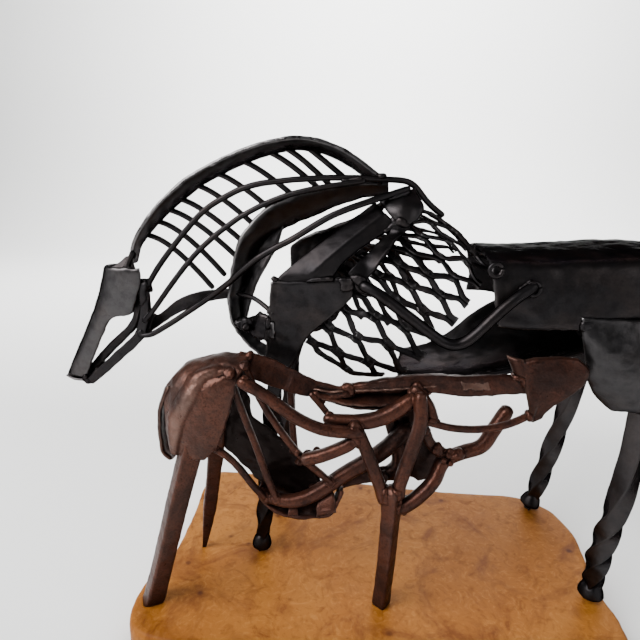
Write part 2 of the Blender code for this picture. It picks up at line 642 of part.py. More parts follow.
def foalRods(steel):
    """The round rods that draw the foal's throat, chest, ribs and belly."""
    y = foalMiddle
    routes = {
        "foal_throat_rod": ([(60, y - 8, 132), (70, y - 6.5, 129), (80, y - 5.5, 128.2), (92, y - 5, 129.6),
                             (102, y - 3.5, 133), (110, y - 2, 137.5)], 1.5),
        "foal_raised_rod": ([(101, y + 7, 136), (94, y + 5, 124), (88, y + 3, 115), (78, y + 2, 111),
                             (69, y - 1, 107), (63, y - 6, 95), (54, y - 9, 88), (46, y - 11, 86)], 2.8),
        "foal_crook_rod": ([(68, y, 112), (62, y - 1, 117), (59, y - 2, 124)], 2.3),
        "foal_shoulder_rod_front": ([(54, y - 9, 145), (56, y - 10, 134), (52, y - 10, 118),
                                     (48, y - 11, 103), (45, y - 12, 93)], 2.8),
        "foal_shoulder_rod_rear": ([(24, y - 12, 130), (28, y - 12, 121), (32, y - 12, 111),
                                    (36, y - 12, 100), (40, y - 12, 90)], 2.8),
        "foal_chest_rod": ([(52, y - 2, 147), (60, y - 5, 139), (61, y - 6, 132.5)], 2.6),
        "foal_back_rod": ([(-31, y - 15.5, 151), (-25, y - 16, 149), (-15, y - 16, 142),
                           (-4, y - 16, 134), (8, y - 16, 129), (20, y - 15, 128), (27, y - 12, 127)], 2.5),
        "foal_side_rod": ([(10, y - 8, 131), (20, y - 8, 130), (31, y - 8, 131), (41, y - 7, 135),
                           (52, y - 5, 143)], [2.2, 2.8, 3.3, 3.4, 3]),
        "foal_rib_1": ([(-52, y - 13.5, 114.5), (-46, y - 12.5, 112), (-37, y - 12, 104), (-30, y - 12, 94),
                        (-26, y - 10, 87), (-23, y - 7, 82)], 1.5),
        "foal_rib_2": ([(-38, y - 12.5, 156), (-36.5, y - 11.5, 146), (-33, y - 11, 134), (-27, y - 11, 116),
                        (-21, y - 10, 95), (-17, y - 8, 82)], 1.5),
        "foal_rib_3": ([(-32, y - 8, 158), (-28, y - 8, 148), (-21, y - 9, 134), (-9, y - 9, 116),
                        (1, y - 8, 104), (12, y - 4, 92)], 1.5),
        "foal_rib_strut": ([(2, y - 4, 141), (7, y - 5, 136), (11, y - 6, 131)], 2.2),
        "foal_rib_far": ([(-11, y + 1, 149), (-11, y + 4, 140), (-11, y + 7, 122), (-10, y + 9.5, 101)], 1.8),
        "foal_elbow_rod": ([(-5, y - 12.5, 113.5), (2, y - 14.5, 110), (10, y - 15, 111), (19, y - 14, 117),
                            (25, y - 13, 123)], 2.6),
        "foal_belly_rod": ([(-26, y - 5, 83), (-15, y - 7, 81), (-5, y - 7, 82), (6, y - 4, 87),
                            (18, y, 95), (30, y + 1, 103), (41, y + 2, 112), (51, y + 3, 124)],
                           [2.4, 2.8, 3.2, 3.4, 3.6, 3.6]),
    }
    rods = {name: rod(name, route, radius, steel, steps=2) for name, (route, radius) in routes.items()}
    fuse(rods["foal_raised_rod"], [rods.pop("foal_crook_rod")])
    return rods


def foalBellyStrip(steel):
    route = [(-27, -48, 84), (-22, -48, 77), (-13, -48, 73), (-2, -48, 73), (9, -48, 77), (16, -48, 86)]
    return bar("foal_belly_strip", route, [(0, 1, 0)], [8, 16, 18, 16, 8], 2.2, steel, steps=2)


def foalFarSide(steel):
    outline = [(-41, 139), (-35, 132), (-34, 121), (-24, 112), (-8, 99), (2, 85), (8, 72), (-6, 67),
               (-20, 72), (-33, 82), (-45, 95), (-52, 104), (-48, 126)]
    return plate("foal_side_plate_far", outline, lambda x, z: -37, sheetThickness, steel)


def foalFoldedLeg(steel):
    """The far foreleg, folded up under the chest."""
    route = [(41, -38, 138), (42, -38, 124), (46, -39.5, 110), (47, -39, 98), (43, -39, 91), (36, -40, 93)]
    return rod("foal_fore_leg_far", route, [3.2, 3.4, 3.2, 3, 3, 2.2], steel, steps=2)


# ---- the whole

def clearScene():
    for piece in list(bpy.data.objects):
        bpy.data.objects.remove(piece)


def buildMare(steel):
    facePlate(steel)
    muzzleCap(steel)
    jawBar("mare_jaw_bar_near", -6, [4], steel)
    jawBar("mare_jaw_bar_far", -0.5, [6.4, 4.2, 4, 4, 4, 4.2, 6.4], steel)
    foreheadLink(steel)
    maneComb(steel)
    neckRods(steel)
    throatBar(steel)
    chestBar(steel)
    chestWeb(steel)
    chestRod(steel)
    shoulderPlate(steel)
    foldedShoulderBar(steel)
    rearShoulderBar(steel)
    farShoulderPlate(steel)
    withersFlap(steel)
    ribMesh(steel)
    sideRod(steel)
    backSheet(steel)
    bellyTrough(steel)
    bellyRod(steel)
    thighPlate("mare_thigh_plate_near", -1, steel)
    thighPlate("mare_thigh_plate_far", 1, steel)
    mareLegs(steel)
    tail(steel)


def buildFoal(steel):
    foalThigh("foal_thigh_plate_near", -62, -1, steel)
    foalThigh("foal_thigh_plate_far", -34.6, 1, steel)
    foalRump(steel)
    foalTailStrip(steel)
    foalLegs(steel)
    foalSpine(steel)
    foalWithersLeaf(steel)
    foalNeck(steel)
    foalHead(steel)
    foalEar(steel)
    foalRods(steel)
    foalBellyStrip(steel)
    foalFarSide(steel)
    foalFoldedLeg(steel)


# each piece that is trimmed to sit against others, and those others
copes = {
    "mare_jaw_bar_near": ["mare_face_plate", "mare_muzzle_cap"],
    "mare_jaw_bar_far": ["mare_face_plate", "mare_muzzle_cap"],
    "mare_forehead_link": ["mare_face_plate", "mare_mane_comb"],
    "mare_throat_bar": ["mare_jaw_bar_near", "mare_jaw_bar_far", "mare_chest_bar"],
    "mare_neck_rod_upper": ["mare_face_plate", "mare_jaw_bar_near", "mare_mane_comb"],
    "mare_neck_rod_middle": ["mare_face_plate", "mare_jaw_bar_near", "mare_neck_rod_upper"],
    "mare_neck_rod_lower": ["mare_jaw_bar_near", "mare_throat_bar", "mare_withers_flap"],
    "mare_chest_bar": ["mare_mane_comb", "mare_neck_rod_middle"],
    "mare_chest_web": ["mare_chest_bar", "mare_shoulder_plate_near", "mare_fore_leg_near"],
    "mare_chest_rod": ["mare_chest_bar", "mare_shoulder_plate_near"],
    "mare_fore_leg_near": ["mare_shoulder_plate_near"],
    "mare_shoulder_plate_far": ["mare_chest_bar"],
    "mare_shoulder_bar_folded": ["mare_shoulder_plate_near", "mare_withers_flap"],
    "mare_shoulder_bar_rear": ["mare_shoulder_plate_near", "mare_shoulder_bar_folded", "mare_withers_flap"],
    "mare_side_rod": ["mare_shoulder_plate_near", "mare_shoulder_bar_rear", "mare_back_sheet"],
    "mare_rib_mesh": ["mare_back_sheet", "mare_belly_trough", "mare_shoulder_bar_rear"],
    "mare_hind_leg_near": ["mare_thigh_plate_near"],
    "mare_hind_leg_far": ["mare_thigh_plate_far"],
    "foal_thigh_plate_near": ["foal_rump_sheet"],
    "foal_thigh_plate_far": ["foal_rump_sheet"],
    "foal_hind_leg_near": ["burl_slab", "foal_thigh_plate_near"],
    "foal_hind_leg_far": ["burl_slab", "foal_thigh_plate_far"],
    "foal_tail_strip": ["foal_rump_sheet"],
    "foal_spine_strap": ["foal_rump_sheet"],
    "foal_neck_bar": ["foal_spine_strap", "foal_head_plate"],
    "foal_ear": ["foal_neck_bar", "foal_head_plate"],
    "foal_fore_leg_near": ["burl_slab"],
    "foal_shoulder_rod_front": ["foal_fore_leg_near", "foal_side_rod"],
    "foal_shoulder_rod_rear": ["foal_fore_leg_near", "foal_side_rod"],
    "foal_raised_rod": ["foal_fore_leg_near"],
    "foal_chest_rod": ["foal_neck_bar", "foal_throat_rod", "foal_shoulder_rod_front"],
    "foal_throat_rod": ["foal_head_plate"],
    "foal_back_rod": ["foal_rump_sheet", "foal_shoulder_rod_rear"],
    "foal_elbow_rod": ["foal_shoulder_rod_rear"],
    "foal_belly_strip": ["foal_belly_rod"],
    "foal_rib_1": ["foal_thigh_plate_near", "foal_belly_rod", "foal_belly_strip"],
    "foal_rib_2": ["foal_rump_sheet", "foal_belly_rod", "foal_belly_strip"],
    "foal_rib_3": ["foal_rump_sheet", "foal_spine_strap", "foal_elbow_rod", "foal_belly_rod"],
    "foal_rib_strut": ["foal_side_rod", "foal_spine_strap"],
    "foal_withers_leaf": ["foal_side_rod", "foal_spine_strap", "foal_neck_bar"],
    "foal_fore_leg_far": ["foal_withers_leaf", "foal_belly_rod"],
    "foal_rib_far": ["foal_spine_strap", "foal_side_plate_far"],
}


def main():
    clearScene()
    burlSlab(burlWood)
    buildMare(darkSteel)
    buildFoal(rustSteel)
    pieces = bpy.data.objects
    for name, neighbours in copes.items():
        cope(pieces[name], *(pieces[other] for other in neighbours))
    for piece in pieces:
        piece.location += Vector((planShift[0], planShift[1], 0)) * mm


main()
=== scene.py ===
import math
import bmesh
import bpy
import numpy as np
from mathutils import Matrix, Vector, noise
from mathutils.bvhtree import BVHTree
from mathutils.kdtree import KDTree


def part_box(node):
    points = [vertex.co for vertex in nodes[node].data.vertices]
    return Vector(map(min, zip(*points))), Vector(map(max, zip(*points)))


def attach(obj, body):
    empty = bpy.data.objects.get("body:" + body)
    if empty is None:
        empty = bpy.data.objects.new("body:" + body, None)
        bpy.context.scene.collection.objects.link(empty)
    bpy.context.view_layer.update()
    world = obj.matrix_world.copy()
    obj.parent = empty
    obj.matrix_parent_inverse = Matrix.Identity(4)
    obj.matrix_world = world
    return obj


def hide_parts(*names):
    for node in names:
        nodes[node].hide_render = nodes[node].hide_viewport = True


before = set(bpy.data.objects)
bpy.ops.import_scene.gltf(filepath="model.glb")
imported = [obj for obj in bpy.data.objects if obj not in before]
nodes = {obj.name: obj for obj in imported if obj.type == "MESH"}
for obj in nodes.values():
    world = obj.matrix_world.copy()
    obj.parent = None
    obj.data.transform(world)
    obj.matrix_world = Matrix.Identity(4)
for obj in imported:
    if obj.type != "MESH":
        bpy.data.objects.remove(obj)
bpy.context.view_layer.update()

mm = 0.001
planShift = np.array((-25.0, 17.0, 0))  # mm, from the animals' own plan to the frame
pieces = {}                             # name: (object, the nodes that it stands for, slot)
firstRim = {}                           # sheet name: where the points of its cut edge begin
goldenTurn = 2.4                        # radians: steps of this spread points evenly round
# by a name's first letters
slotOf = {"mare": "blackened_steel", "foal": "russet_steel", "burl": "burl_wood"}


# small sums

def unit(v):
    v = np.asarray(v, float)
    return v / np.linalg.norm(v, axis=-1, keepdims=True)


def lengths(v):
    return np.linalg.norm(v, axis=-1)


def placed(points):
    return (np.asarray(points, float) + planShift) * mm


# points from x and z alone, all at this y
def lane(y, *pairs):
    return [(x, y, z) for x, z in pairs]


# a row of points run on by one at each end, and the smooth curve through four of them, from b to c
def runOut(p):
    return np.concatenate([[2 * p[0] - p[1]], p, [2 * p[-1] - p[-2]]])


def smooth(a, b, c, d, t):
    return 0.5 * (2 * b + (c - a) * t + (2 * a - 5 * b + 4 * c - d) * t * t
                  + (3 * b - a - 3 * c + d) * t ** 3)


# points along a smooth curve through the given ones, about so far apart
def curveThrough(points, spacing, sharp=False):
    fine = np.asarray(points, float)
    if not sharp:
        p = runOut(fine)
        fine = [smooth(a, b, c, d, t) for a, b, c, d in zip(p, p[1:], p[2:], p[3:])
                for t in np.linspace(0, 1, 16, endpoint=False)]
        fine = np.array(fine + [p[-2]])
    run = np.concatenate([[0], np.cumsum(lengths(np.diff(fine[:, :3], axis=0)))])
    at = np.linspace(0, run[-1], max(3, round(run[-1] / spacing) + 1))
    return np.array([np.interp(at, run, column) for column in fine.T]).T


# values given along a route, read at this many places
def spread(values, count):
    values = np.atleast_1d(np.asarray(values, float))
    at, given = np.linspace(0, 1, count), np.linspace(0, 1, len(values))
    if values.ndim == 1:
        return np.interp(at, given, values)
    return np.array([np.interp(at, given, column) for column in values.T]).T


def roughness(points, size, seed):
    return np.array([noise.fractal(Vector(p / (size * mm)) + Vector((seed, 0, 0)), 0.8, 2.0, 3)
                     for p in points])


# the faces between rings of this many points
def ringFaces(rings, around):
    faces = []
    for i in range(rings - 1):
        for k in range(around):
            a, b = i * around + k, i * around + (k + 1) % around
            faces.append((a, b, b + around, a + around))
    return faces


# pieces: each is listed with the nodes that it stands for, and takes its finish by its name

def linked(name, data):
    thing = bpy.data.objects.new(name, data)
    bpy.context.scene.collection.objects.link(thing)
    return thing


def listed(piece, replaced):
    pieces[piece.name] = (piece, replaced.split(), slotOf[piece.name[:4]])
    return piece


def newPiece(name, replaced, verts, faces):
    mesh = bpy.data.meshes.new(name)
    mesh.from_pydata([tuple(v) for v in verts], [], [tuple(int(i) for i in f) for f in faces])
    mesh.validate()
    mesh.shade_smooth()
    mesh.materials.append(finishOf[name[:4]])
    bm = bmesh.new()
    bm.from_mesh(mesh)
    bmesh.ops.recalc_face_normals(bm, faces=bm.faces)
    bm.to_mesh(mesh)
    bm.free()
    return listed(linked(name, mesh), replaced)


def dented(piece, depth, seed, size=7.0):
    mesh = piece.data
    place = np.array([v.co for v in mesh.vertices])
    normal = np.array([v.normal for v in mesh.vertices])
    place += normal * (roughness(place, size, seed) * depth * mm)[:, None]
    mesh.vertices.foreach_set("co", place.ravel())
    mesh.update()
    return piece


# node trees

def node(tree, kind, inputs=None, **settings):
    made = tree.nodes.new(kind)
    for key, value in settings.items():
        setattr(made, key, value)
    for key, value in (inputs or {}).items():
        if isinstance(value, bpy.types.NodeSocket):
            tree.links.new(value, made.inputs[key])
        else:
            made.inputs[key].default_value = value
    return made


def shade(tree, kind, inputs=None, out=0, **settings):
    return node(tree, "ShaderNode" + kind, inputs, **settings).outputs[out]


def shaped(tree, kind, inputs=None, out=0, **settings):
    return node(tree, "GeometryNode" + kind, inputs, **settings).outputs[out]


def reckon(tree, operation, a, b):
    return shade(tree, "Math", {0: a, 1: b}, operation=operation)


def scaled(tree, vector, by):
    return shade(tree, "VectorMath", {0: vector, 3: by}, operation="SCALE")


# a tree that takes lines or points, these measures and a steel
def geometryTree(name, measures):
    tree = bpy.data.node_groups.new(name, "GeometryNodeTree")
    tree.interface.new_socket("Geometry", in_out="INPUT", socket_type="NodeSocketGeometry")
    for title, value in measures.items():
        socket = tree.interface.new_socket(title, in_out="INPUT", socket_type="NodeSocketFloat")
        socket.default_value = value
    tree.interface.new_socket("Steel", in_out="INPUT", socket_type="NodeSocketMaterial")
    tree.interface.new_socket("Geometry", in_out="OUTPUT", socket_type="NodeSocketGeometry")
    return tree, node(tree, "NodeGroupInput").outputs


# pushes a skin in and out along its normals, by a noise of this size and depth
def lumpySkin(tree, skin, place, size, depth, seed=None):
    finer = scaled(tree, place, reckon(tree, "DIVIDE", 1.0, size))
    if seed is None:
        lump = shade(tree, "TexNoise", {"Vector": finer, "Scale": 1.0, "Detail": 2.0})
    else:
        lump = shade(tree, "TexNoise", {"Vector": finer, "W": seed, "Scale": 1.0, "Detail": 2.0},
                     noise_dimensions="4D")
    depth = reckon(tree, "MULTIPLY", reckon(tree, "ADD", lump, -0.5), depth)
    push = scaled(tree, shaped(tree, "InputNormal"), depth)
    return shaped(tree, "SetPosition", {"Geometry": skin, "Offset": push})


def ended(tree, skin, steel):
    real = shaped(tree, "RealizeInstances", {"Geometry": skin})
    dressed = shaped(tree, "SetMaterial", {"Geometry": real, "Material": steel})
    node(tree, "NodeGroupOutput", {0: dressed})
    return tree


# lines or points that carry values, grown by a tree into a piece with a plain mesh
def grown(name, replaced, verts, edges, values, tree, measures):
    mesh = bpy.data.meshes.new(name)
    mesh.from_pydata([tuple(v) for v in verts], edges, [])
    for title, given in values.items():
        given = np.array(given, np.float32)
        kind, field = ("FLOAT", "value") if given.ndim == 1 else ("FLOAT_VECTOR", "vector")
        mesh.attributes.new(title, kind, "POINT").data.foreach_set(field, given.ravel())
    piece = linked(name, mesh)
    modifier = piece.modifiers.new(tree.name, "NODES")
    modifier.node_group = tree
    measures = {**measures, "Steel": finishOf[name[:4]]}
    for item in tree.interface.items_tree:
        if item.in_out == "INPUT" and item.name in measures:
            modifier[item.identifier] = measures[item.name]
    bpy.context.view_layer.update()
    graph = bpy.context.evaluated_depsgraph_get()
    mesh = bpy.data.meshes.new_from_object(piece.evaluated_get(graph))
    piece.modifiers.clear()
    piece.data = mesh
    mesh.shade_smooth()
    return listed(piece, replaced)


# finishes

def material(name, **sockets):
    made = bpy.data.materials.new(name)
    made.use_nodes = True
    tree = made.node_tree
    shader = tree.nodes["Principled BSDF"]
    for key, value in sockets.items():
        shader.inputs[key.replace("_", " ")].default_value = value
    return made, tree, shader, shade(tree, "TexCoord", out="Object")


def ramp(tree, value, low, high, start=0.0, end=1.0):
    return shade(tree, "MapRange", {"Value": value, "From Min": low, "From Max": high,
                                    "To Min": start, "To Max": end})


def noiseOf(tree, place, scale, detail=4.0, rough=0.55, distortion=0.0):
    return shade(tree, "TexNoise", {"Vector": place, "Scale": scale, "Detail": detail,
                                    "Roughness": rough, "Distortion": distortion})


def product(tree, a, b):
    return reckon(tree, "MULTIPLY", a, b)


# one colour laid over the last, each as far as its share says
def coats(tree, look, ground, layers):
    colour = look[ground]
    for share, coat in layers:
        colour = shade(tree, "Mix", {0: share, 6: colour, 7: look[coat]}, out=2, data_type="RGBA")
    return colour


def bump(tree, strength, distance, height, **under):
    return shade(tree, "Bump", {"Strength": strength, "Distance": distance, "Height": height, **under})


def dress(tree, shader, colour, rough, normal):
    for title, value in (("Base Color", colour), ("Roughness", rough), ("Normal", normal)):
        tree.links.new(value, shader.inputs[title])


def steelFinish(name, look):
    made, tree, shader, place = material(name, Metallic=look["metallic"], Specular_IOR_Level=look["specular"],
                                         Specular_Tint=(look["edge"], look["edge"], look["edge"], 1))
    broad = noiseOf(tree, place, 55, 5, 0.6, 0.4)
    middle = noiseOf(tree, place, 210, 4, 0.6)
    fine = noiseOf(tree, place, 900, 3, 0.6)
    # read per point: the heat tint near welds, a lightening that is partly wear and partly painted sheen, and
    # painted shade where the point is shut in
    heat, rub, soot = [shade(tree, "Attribute", out="Fac", attribute_name=title)
                       for title in ("heat", "rub", "soot")]
    point = shade(tree, "NewGeometry", out="Pointiness")
    # edges that stand out by pointiness are lightened, as edge wear and as painted highlight lines
    wornAndLit = product(tree, ramp(tree, point, 0.545, 0.63), ramp(tree, middle, 0.35, 0.6, 0.3, 1))
    colour = coats(tree, look, "base", (
        (ramp(tree, broad, 0.42, 0.62), "patch"),
        (ramp(tree, middle, 0.55, 0.75, 0, 0.6), "dark"),
        (ramp(tree, fine, 0.48, 0.66, 0, look["speck"]), "dark"),
        (product(tree, heat, ramp(tree, middle, 0.3, 0.6, 0.2, 1)), "heat"),
        # the next two coats lighten edges and chosen places, partly as wear and partly as painted highlight
        (product(tree, wornAndLit, look["wearAndGlint"]), "wornAndLit"),
        (product(tree, rub, ramp(tree, middle, 0.3, 0.6, 0.5, 1)), "wornAndLit"),
        # the last coat is painted shade, darkest where other pieces shut the point in
        (ramp(tree, soot, 0.2, 0.7, 0, look["soot"]), "dark")))
    rough = reckon(tree, "ADD", ramp(tree, middle, 0.3, 0.7, *look["rough"]),
                   product(tree, rub, -look["polish"]))
    low = bump(tree, look["hammer"], 0.0006, middle)
    dress(tree, shader, colour, rough, bump(tree, look["scale"], 0.0002, fine, Normal=low))
    return made


# in each look one grey colour lightens edges and chosen places, as wear and as painted highlight, and one
# strength sets how dark the painted shade in shut-in places goes
blackenedLook = {
    "base": (0.02, 0.0185, 0.0195, 1), "patch": (0.0265, 0.0222, 0.0218, 1), "dark": (0.01, 0.009, 0.0095, 1),
    "heat": (0.095, 0.042, 0.031, 1), "wornAndLit": (0.24, 0.23, 0.232, 1), "wearAndGlint": 0.6, "soot": 0.7, "speck": 0.25,
    "metallic": 1.0, "specular": 0.5, "edge": 0.15, "rough": (0.33, 0.44), "polish": 0.25,
    "hammer": 0.3, "scale": 0.22}
russetLook = {
    "base": (0.06, 0.0205, 0.0122, 1), "patch": (0.025, 0.01, 0.0072, 1), "dark": (0.006, 0.003, 0.0025, 1),
    "heat": (0.095, 0.032, 0.013, 1), "wornAndLit": (0.2, 0.125, 0.1, 1), "wearAndGlint": 0.7, "soot": 0.95, "speck": 0.62,
    "metallic": 0.55, "specular": 0.33, "edge": 0.5, "rough": (0.27, 0.46), "polish": 0.0,
    "hammer": 0.7, "scale": 0.6}
burlLook = {
    "honey": (0.225, 0.076, 0.0105, 1), "pale": (0.27, 0.102, 0.017, 1), "dark": (0.115, 0.033, 0.006, 1),
    "flame": (0.33, 0.135, 0.028, 1), "eye": (0.06, 0.015, 0.0035, 1), "specular": 0.07, "eyes": 60}


def burlFinish():
    made, tree, shader, place = material("burl wood", Specular_IOR_Level=burlLook["specular"])
    swirl = noiseOf(tree, place, 22, 6, 0.65, 2.6)
    cloud = noiseOf(tree, place, 8, 3, 0.5, 0.8)
    figure = noiseOf(tree, place, 75, 6, 0.65, 1.8)
    flame = noiseOf(tree, place, 130, 6, 0.65, 2.6)
    eyes = shade(tree, "TexVoronoi", {"Vector": place, "Scale": burlLook["eyes"], "Randomness": 1.0},
                 out="Distance")
    colour = coats(tree, burlLook, "honey", (
        (ramp(tree, cloud, 0.4, 0.62), "pale"),
        (ramp(tree, flame, 0.52, 0.64, 0, 0.5), "flame"),
        (ramp(tree, swirl, 0.50, 0.66, 0, 0.8), "dark"),
        (ramp(tree, figure, 0.54, 0.70, 0, 0.75), "dark"),
        (ramp(tree, flame, 0.44, 0.36, 0, 0.4), "dark"),
        (product(tree, ramp(tree, eyes, 0.16, 0.05), ramp(tree, swirl, 0.45, 0.6)), "eye")))
    dress(tree, shader, colour, ramp(tree, figure, 0.3, 0.7, 0.46, 0.6), bump(tree, 0.15, 0.0003, figure))
    return made


finishOf = {"mare": steelFinish("blackened steel", blackenedLook),
            "foal": steelFinish("russet steel", russetLook),
            "burl": burlFinish()}
print("finishes mixed")


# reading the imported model

def surfacePoints(name, spacing=0.8 * mm):
    mesh = nodes[name].data
    mesh.calc_loop_triangles()
    place = np.array([v.co for v in mesh.vertices])
    points, weights = [], []
    for t in mesh.loop_triangles:
        a, b, c = place[list(t.vertices)]
        area = np.linalg.norm(np.cross(b - a, c - a)) / 2
        longest = max(np.linalg.norm(b - a), np.linalg.norm(c - a), np.linalg.norm(c - b))
        n = max(1, math.ceil(math.sqrt(area) / spacing)) + int(longest / (3 * spacing))
        i, j = np.meshgrid(range(n), range(n))
        inside = i + j < n
        u, v = (i[inside] + 1 / 3) / n, (j[inside] + 1 / 3) / n
        points.append(a + u[:, None] * (b - a) + v[:, None] * (c - a))
        weights.append(np.full(len(u), area / len(u)))
    return np.concatenate(points), np.concatenate(weights)


# how a rod's middle line is walked: step, first patch, how far aside belongs to it in girths,
# the least share of a full slice, how far each step turns and thins, and the most steps
walking = {"step": 2 * mm, "patch": 8 * mm, "aside": 2.2, "least": 0.35, "turn": 0.7, "keep": 0.7,
           "most": 400}


# the middle line of a rod or bar, walked slice by slice both ways: rows of x, y, z, mean radius
def spineOf(name):
    points, weights = surfacePoints(name)
    step = walking["step"]

    def sliceAt(at, way, girth):
        along = (points - at) @ way
        aside = lengths(points - at - np.outer(along, way))
        return (abs(along) < step) & (aside < walking["aside"] * girth), aside

    def centred(at, way, girth):
        near, _ = sliceAt(at, way, girth)
        shift = np.average(points[near], axis=0, weights=weights[near]) - at
        return at + shift - way * (shift @ way)

    def girthAt(at, way, girth):
        near, aside = sliceAt(at, way, girth)
        return np.average(aside[near], weights=weights[near])

    def walk(at, way, girth):
        line = []
        while len(line) < walking["most"]:
            ahead = at + way * step
            near, _ = sliceAt(ahead, way, girth)
            if weights[near].sum() < walking["least"] * 2 * math.pi * girth * step:     # past the end
                break
            ahead = centred(ahead, way, girth)
            way = unit(way + walking["turn"] * unit(ahead - at))
            girth = walking["keep"] * girth + 0.3 * girthAt(ahead, way, girth)
            at = ahead
            line.append((*at, girth))
        return line

    middle = points[np.argmin(lengths(points - points.mean(0)))]
    patch = points[lengths(points - middle) < walking["patch"]]
    way = unit(np.linalg.svd(patch - patch.mean(0))[2][0])
    girth = lengths(np.cross(patch - patch.mean(0), way)).mean()
    for _ in range(3):
        middle = centred(middle, way, girth)
        girth = girthAt(middle, way, girth)
    return np.array(walk(middle, -way, girth)[::-1] + [(*middle, girth)] + walk(middle, way, girth))


# bars and rods: a line with a radius and a turn at each point, drawn out by a node tree

def barTree():
    tree, given = geometryTree("forged bar", {"Corner": 0.96, "Dent": 0.2 * mm, "Dent Size": 6 * mm,
                                              "Seed": 0.0})

    def stored(title):
        return shaped(tree, "InputNamedAttribute", {"Name": title}, data_type="FLOAT")

    line = shaped(tree, "MeshToCurve", {"Mesh": given["Geometry"]})
    turned = shaped(tree, "SetCurveTilt", {"Curve": line, "Tilt": stored("turn")})
    square = shaped(tree, "CurvePrimitiveQuadrilateral", {"Width": 2.0, "Height": 2.0})
    profile = shaped(tree, "FilletCurve", {"Curve": square, "Radius": given["Corner"], "Count": 4,
                                           "Limit Radius": True}, mode="POLY")
    skin = shaped(tree, "CurveToMesh", {"Curve": turned, "Profile Curve": profile, "Scale": stored("radius"),
                                        "Fill Caps": True})
    place = shaped(tree, "InputPosition")
    hammered = lumpySkin(tree, skin, place, given["Dent Size"], given["Dent"], given["Seed"])
    return ended(tree, hammered, given["Steel"])


forgedBar = barTree()
dome = (0.5, 0.95, 1.25, 1.5)           # a rounded end, as angles from its shoulder


# lines: lists of (points in metres, radii, turns); each end is rounded over
def drawnPiece(name, replaced, lines, corner=0.96, dent=0.2, seed=0.0):
    verts, edges, radii, turns = [], [], [], []
    for path, radius, turn in lines:
        for odd in (0, 1):               # the first end, then the last one, turned round
            r = radius[0]
            way = unit(path[0] - path[1])
            tip = [path[0] + way * r * (math.sin(a) - 1) * 0.9 for a in dome[::-1]]
            keep = lengths(path - path[0]) > r * 0.95
            keep[(len(path) + odd) // 2:] = True
            path = np.concatenate([tip, path[keep]])[::-1]
            radius = np.concatenate([[r * math.cos(a) for a in dome[::-1]], radius[keep]])[::-1]
            turn = np.concatenate([[turn[keep][0]] * len(dome), turn[keep]])[::-1]
        edges += [(len(verts) + i, len(verts) + i + 1) for i in range(len(path) - 1)]
        verts += list(path)
        radii += list(radius)
        turns += list(turn)
    return grown(name, replaced, verts, edges, {"radius": radii, "turn": turns}, forgedBar,
                 {"Corner": corner, "Dent": dent * mm, "Seed": seed})


# a node's own middle line, eased, run on into its neighbours, with its true radius
def rodLine(name, spacing=1.0, runOn=(1.2, 1.2), fat=1.04, turns=(0,)):
    line = spineOf(name)
    for _ in range(4):
        line[1:-1] = (line[:-2] + 2 * line[1:-1] + line[2:]) / 4
    ends = [line[0] + [*(unit(line[0, :3] - line[2, :3]) * runOn[0] * mm), 0],
            line[-1] + [*(unit(line[-1, :3] - line[-3, :3]) * runOn[1] * mm), 0]]
    line = curveThrough(np.concatenate([[ends[0]], line, [ends[1]]]), spacing * mm)
    return line[:, :3], line[:, 3] * fat, spread(turns, len(line)) * math.pi / 2


# a plain round line through these points of the plan
def roundLine(route, radii, spacing=1.0):
    path = placed(curveThrough(route, spacing))
    return path, spread(radii, len(path)) * mm, np.zeros(len(path))


# flat bars: a rounded section carried along a route

barSection = [(math.cos(a), math.sin(a)) for a in np.linspace(0, 2 * math.pi, 28, endpoint=False)]


# across is the way its width lies, given along the route; cup bends the section over its width
def sweptBar(name, replaced, route, across, width, thick, cup=0, corner=0.35, dent=0.25, seed=1.0):
    path = placed(curveThrough(route, 1.2)) / mm
    n = len(path)
    wide, deep, cups = spread(width, n) / 2, spread(thick, n) / 2, spread(cup, n)
    along = unit(np.gradient(path, axis=0))
    side = spread(across, n)
    side = unit(side - along * (side * along).sum(1, keepdims=True))
    up = np.cross(along, side)
    verts = []
    # place on the route, share of the full section, push along it: the ends close in two steps
    stations = [(0, 0.55, -0.35), (0, 0.85, -0.2), *((i, 1, 0) for i in range(n)),
                (n - 1, 0.85, 0.2), (n - 1, 0.55, 0.35)]
    for i, share, push in stations:
        for c, s in barSection:
            x = math.copysign(abs(c) ** corner, c)
            z = math.copysign(abs(s) ** (corner + 0.15), s)
            aside = wide[i] * x - (1 - share) * deep[i] * x
            lift = deep[i] * z * share + cups[i] * (x * x - 0.4)
            verts.append(path[i] + along[i] * push * 2 * deep[i] + side[i] * aside + up[i] * lift)
    m = len(barSection)
    faces = ringFaces(len(stations), m) + [tuple(range(m))[::-1], tuple(range(len(verts) - m, len(verts)))]
    return dented(newPiece(name, replaced, np.array(verts) * mm, faces), dent, seed)


# sheets: a grid of points made fine, shaped, and given its thickness with a rounded rim

def evenRows(rows, spacing, sharp):
    count = max(len(curveThrough(row, spacing, sharp)) for row in rows)
    runs = [lengths(np.diff(curveThrough(row, 0.2, sharp), axis=0)).sum() for row in rows]
    return np.array([curveThrough(row, run / (count - 1), sharp)[:count] for row, run in zip(rows, runs)])


def fineGrid(rows, spacing, sharp):
    columns = evenRows(np.asarray(rows, float), spacing, sharp).transpose(1, 0, 2)
    return evenRows(columns, spacing, False).transpose(1, 0, 2)


def normals(grid):
    return unit(np.cross(np.gradient(grid, axis=0), np.gradient(grid, axis=1)))


# a grid's four edges, each with the line of points beside it
gridEdges = [(np.s_[0], np.s_[1]), (np.s_[-1], np.s_[-2]), (np.s_[:, 0], np.s_[:, 1]),
             (np.s_[:, -1], np.s_[:, -2])]


# sizes of the bumps and bites in mm, how far a bite drags the next line, how much thinner the rim is
# and how proud its middle stands
sheetWork = {"bump": 9.0, "bite": 5.0, "drag": 0.3, "thinner": 0.3, "proud": 0.3}


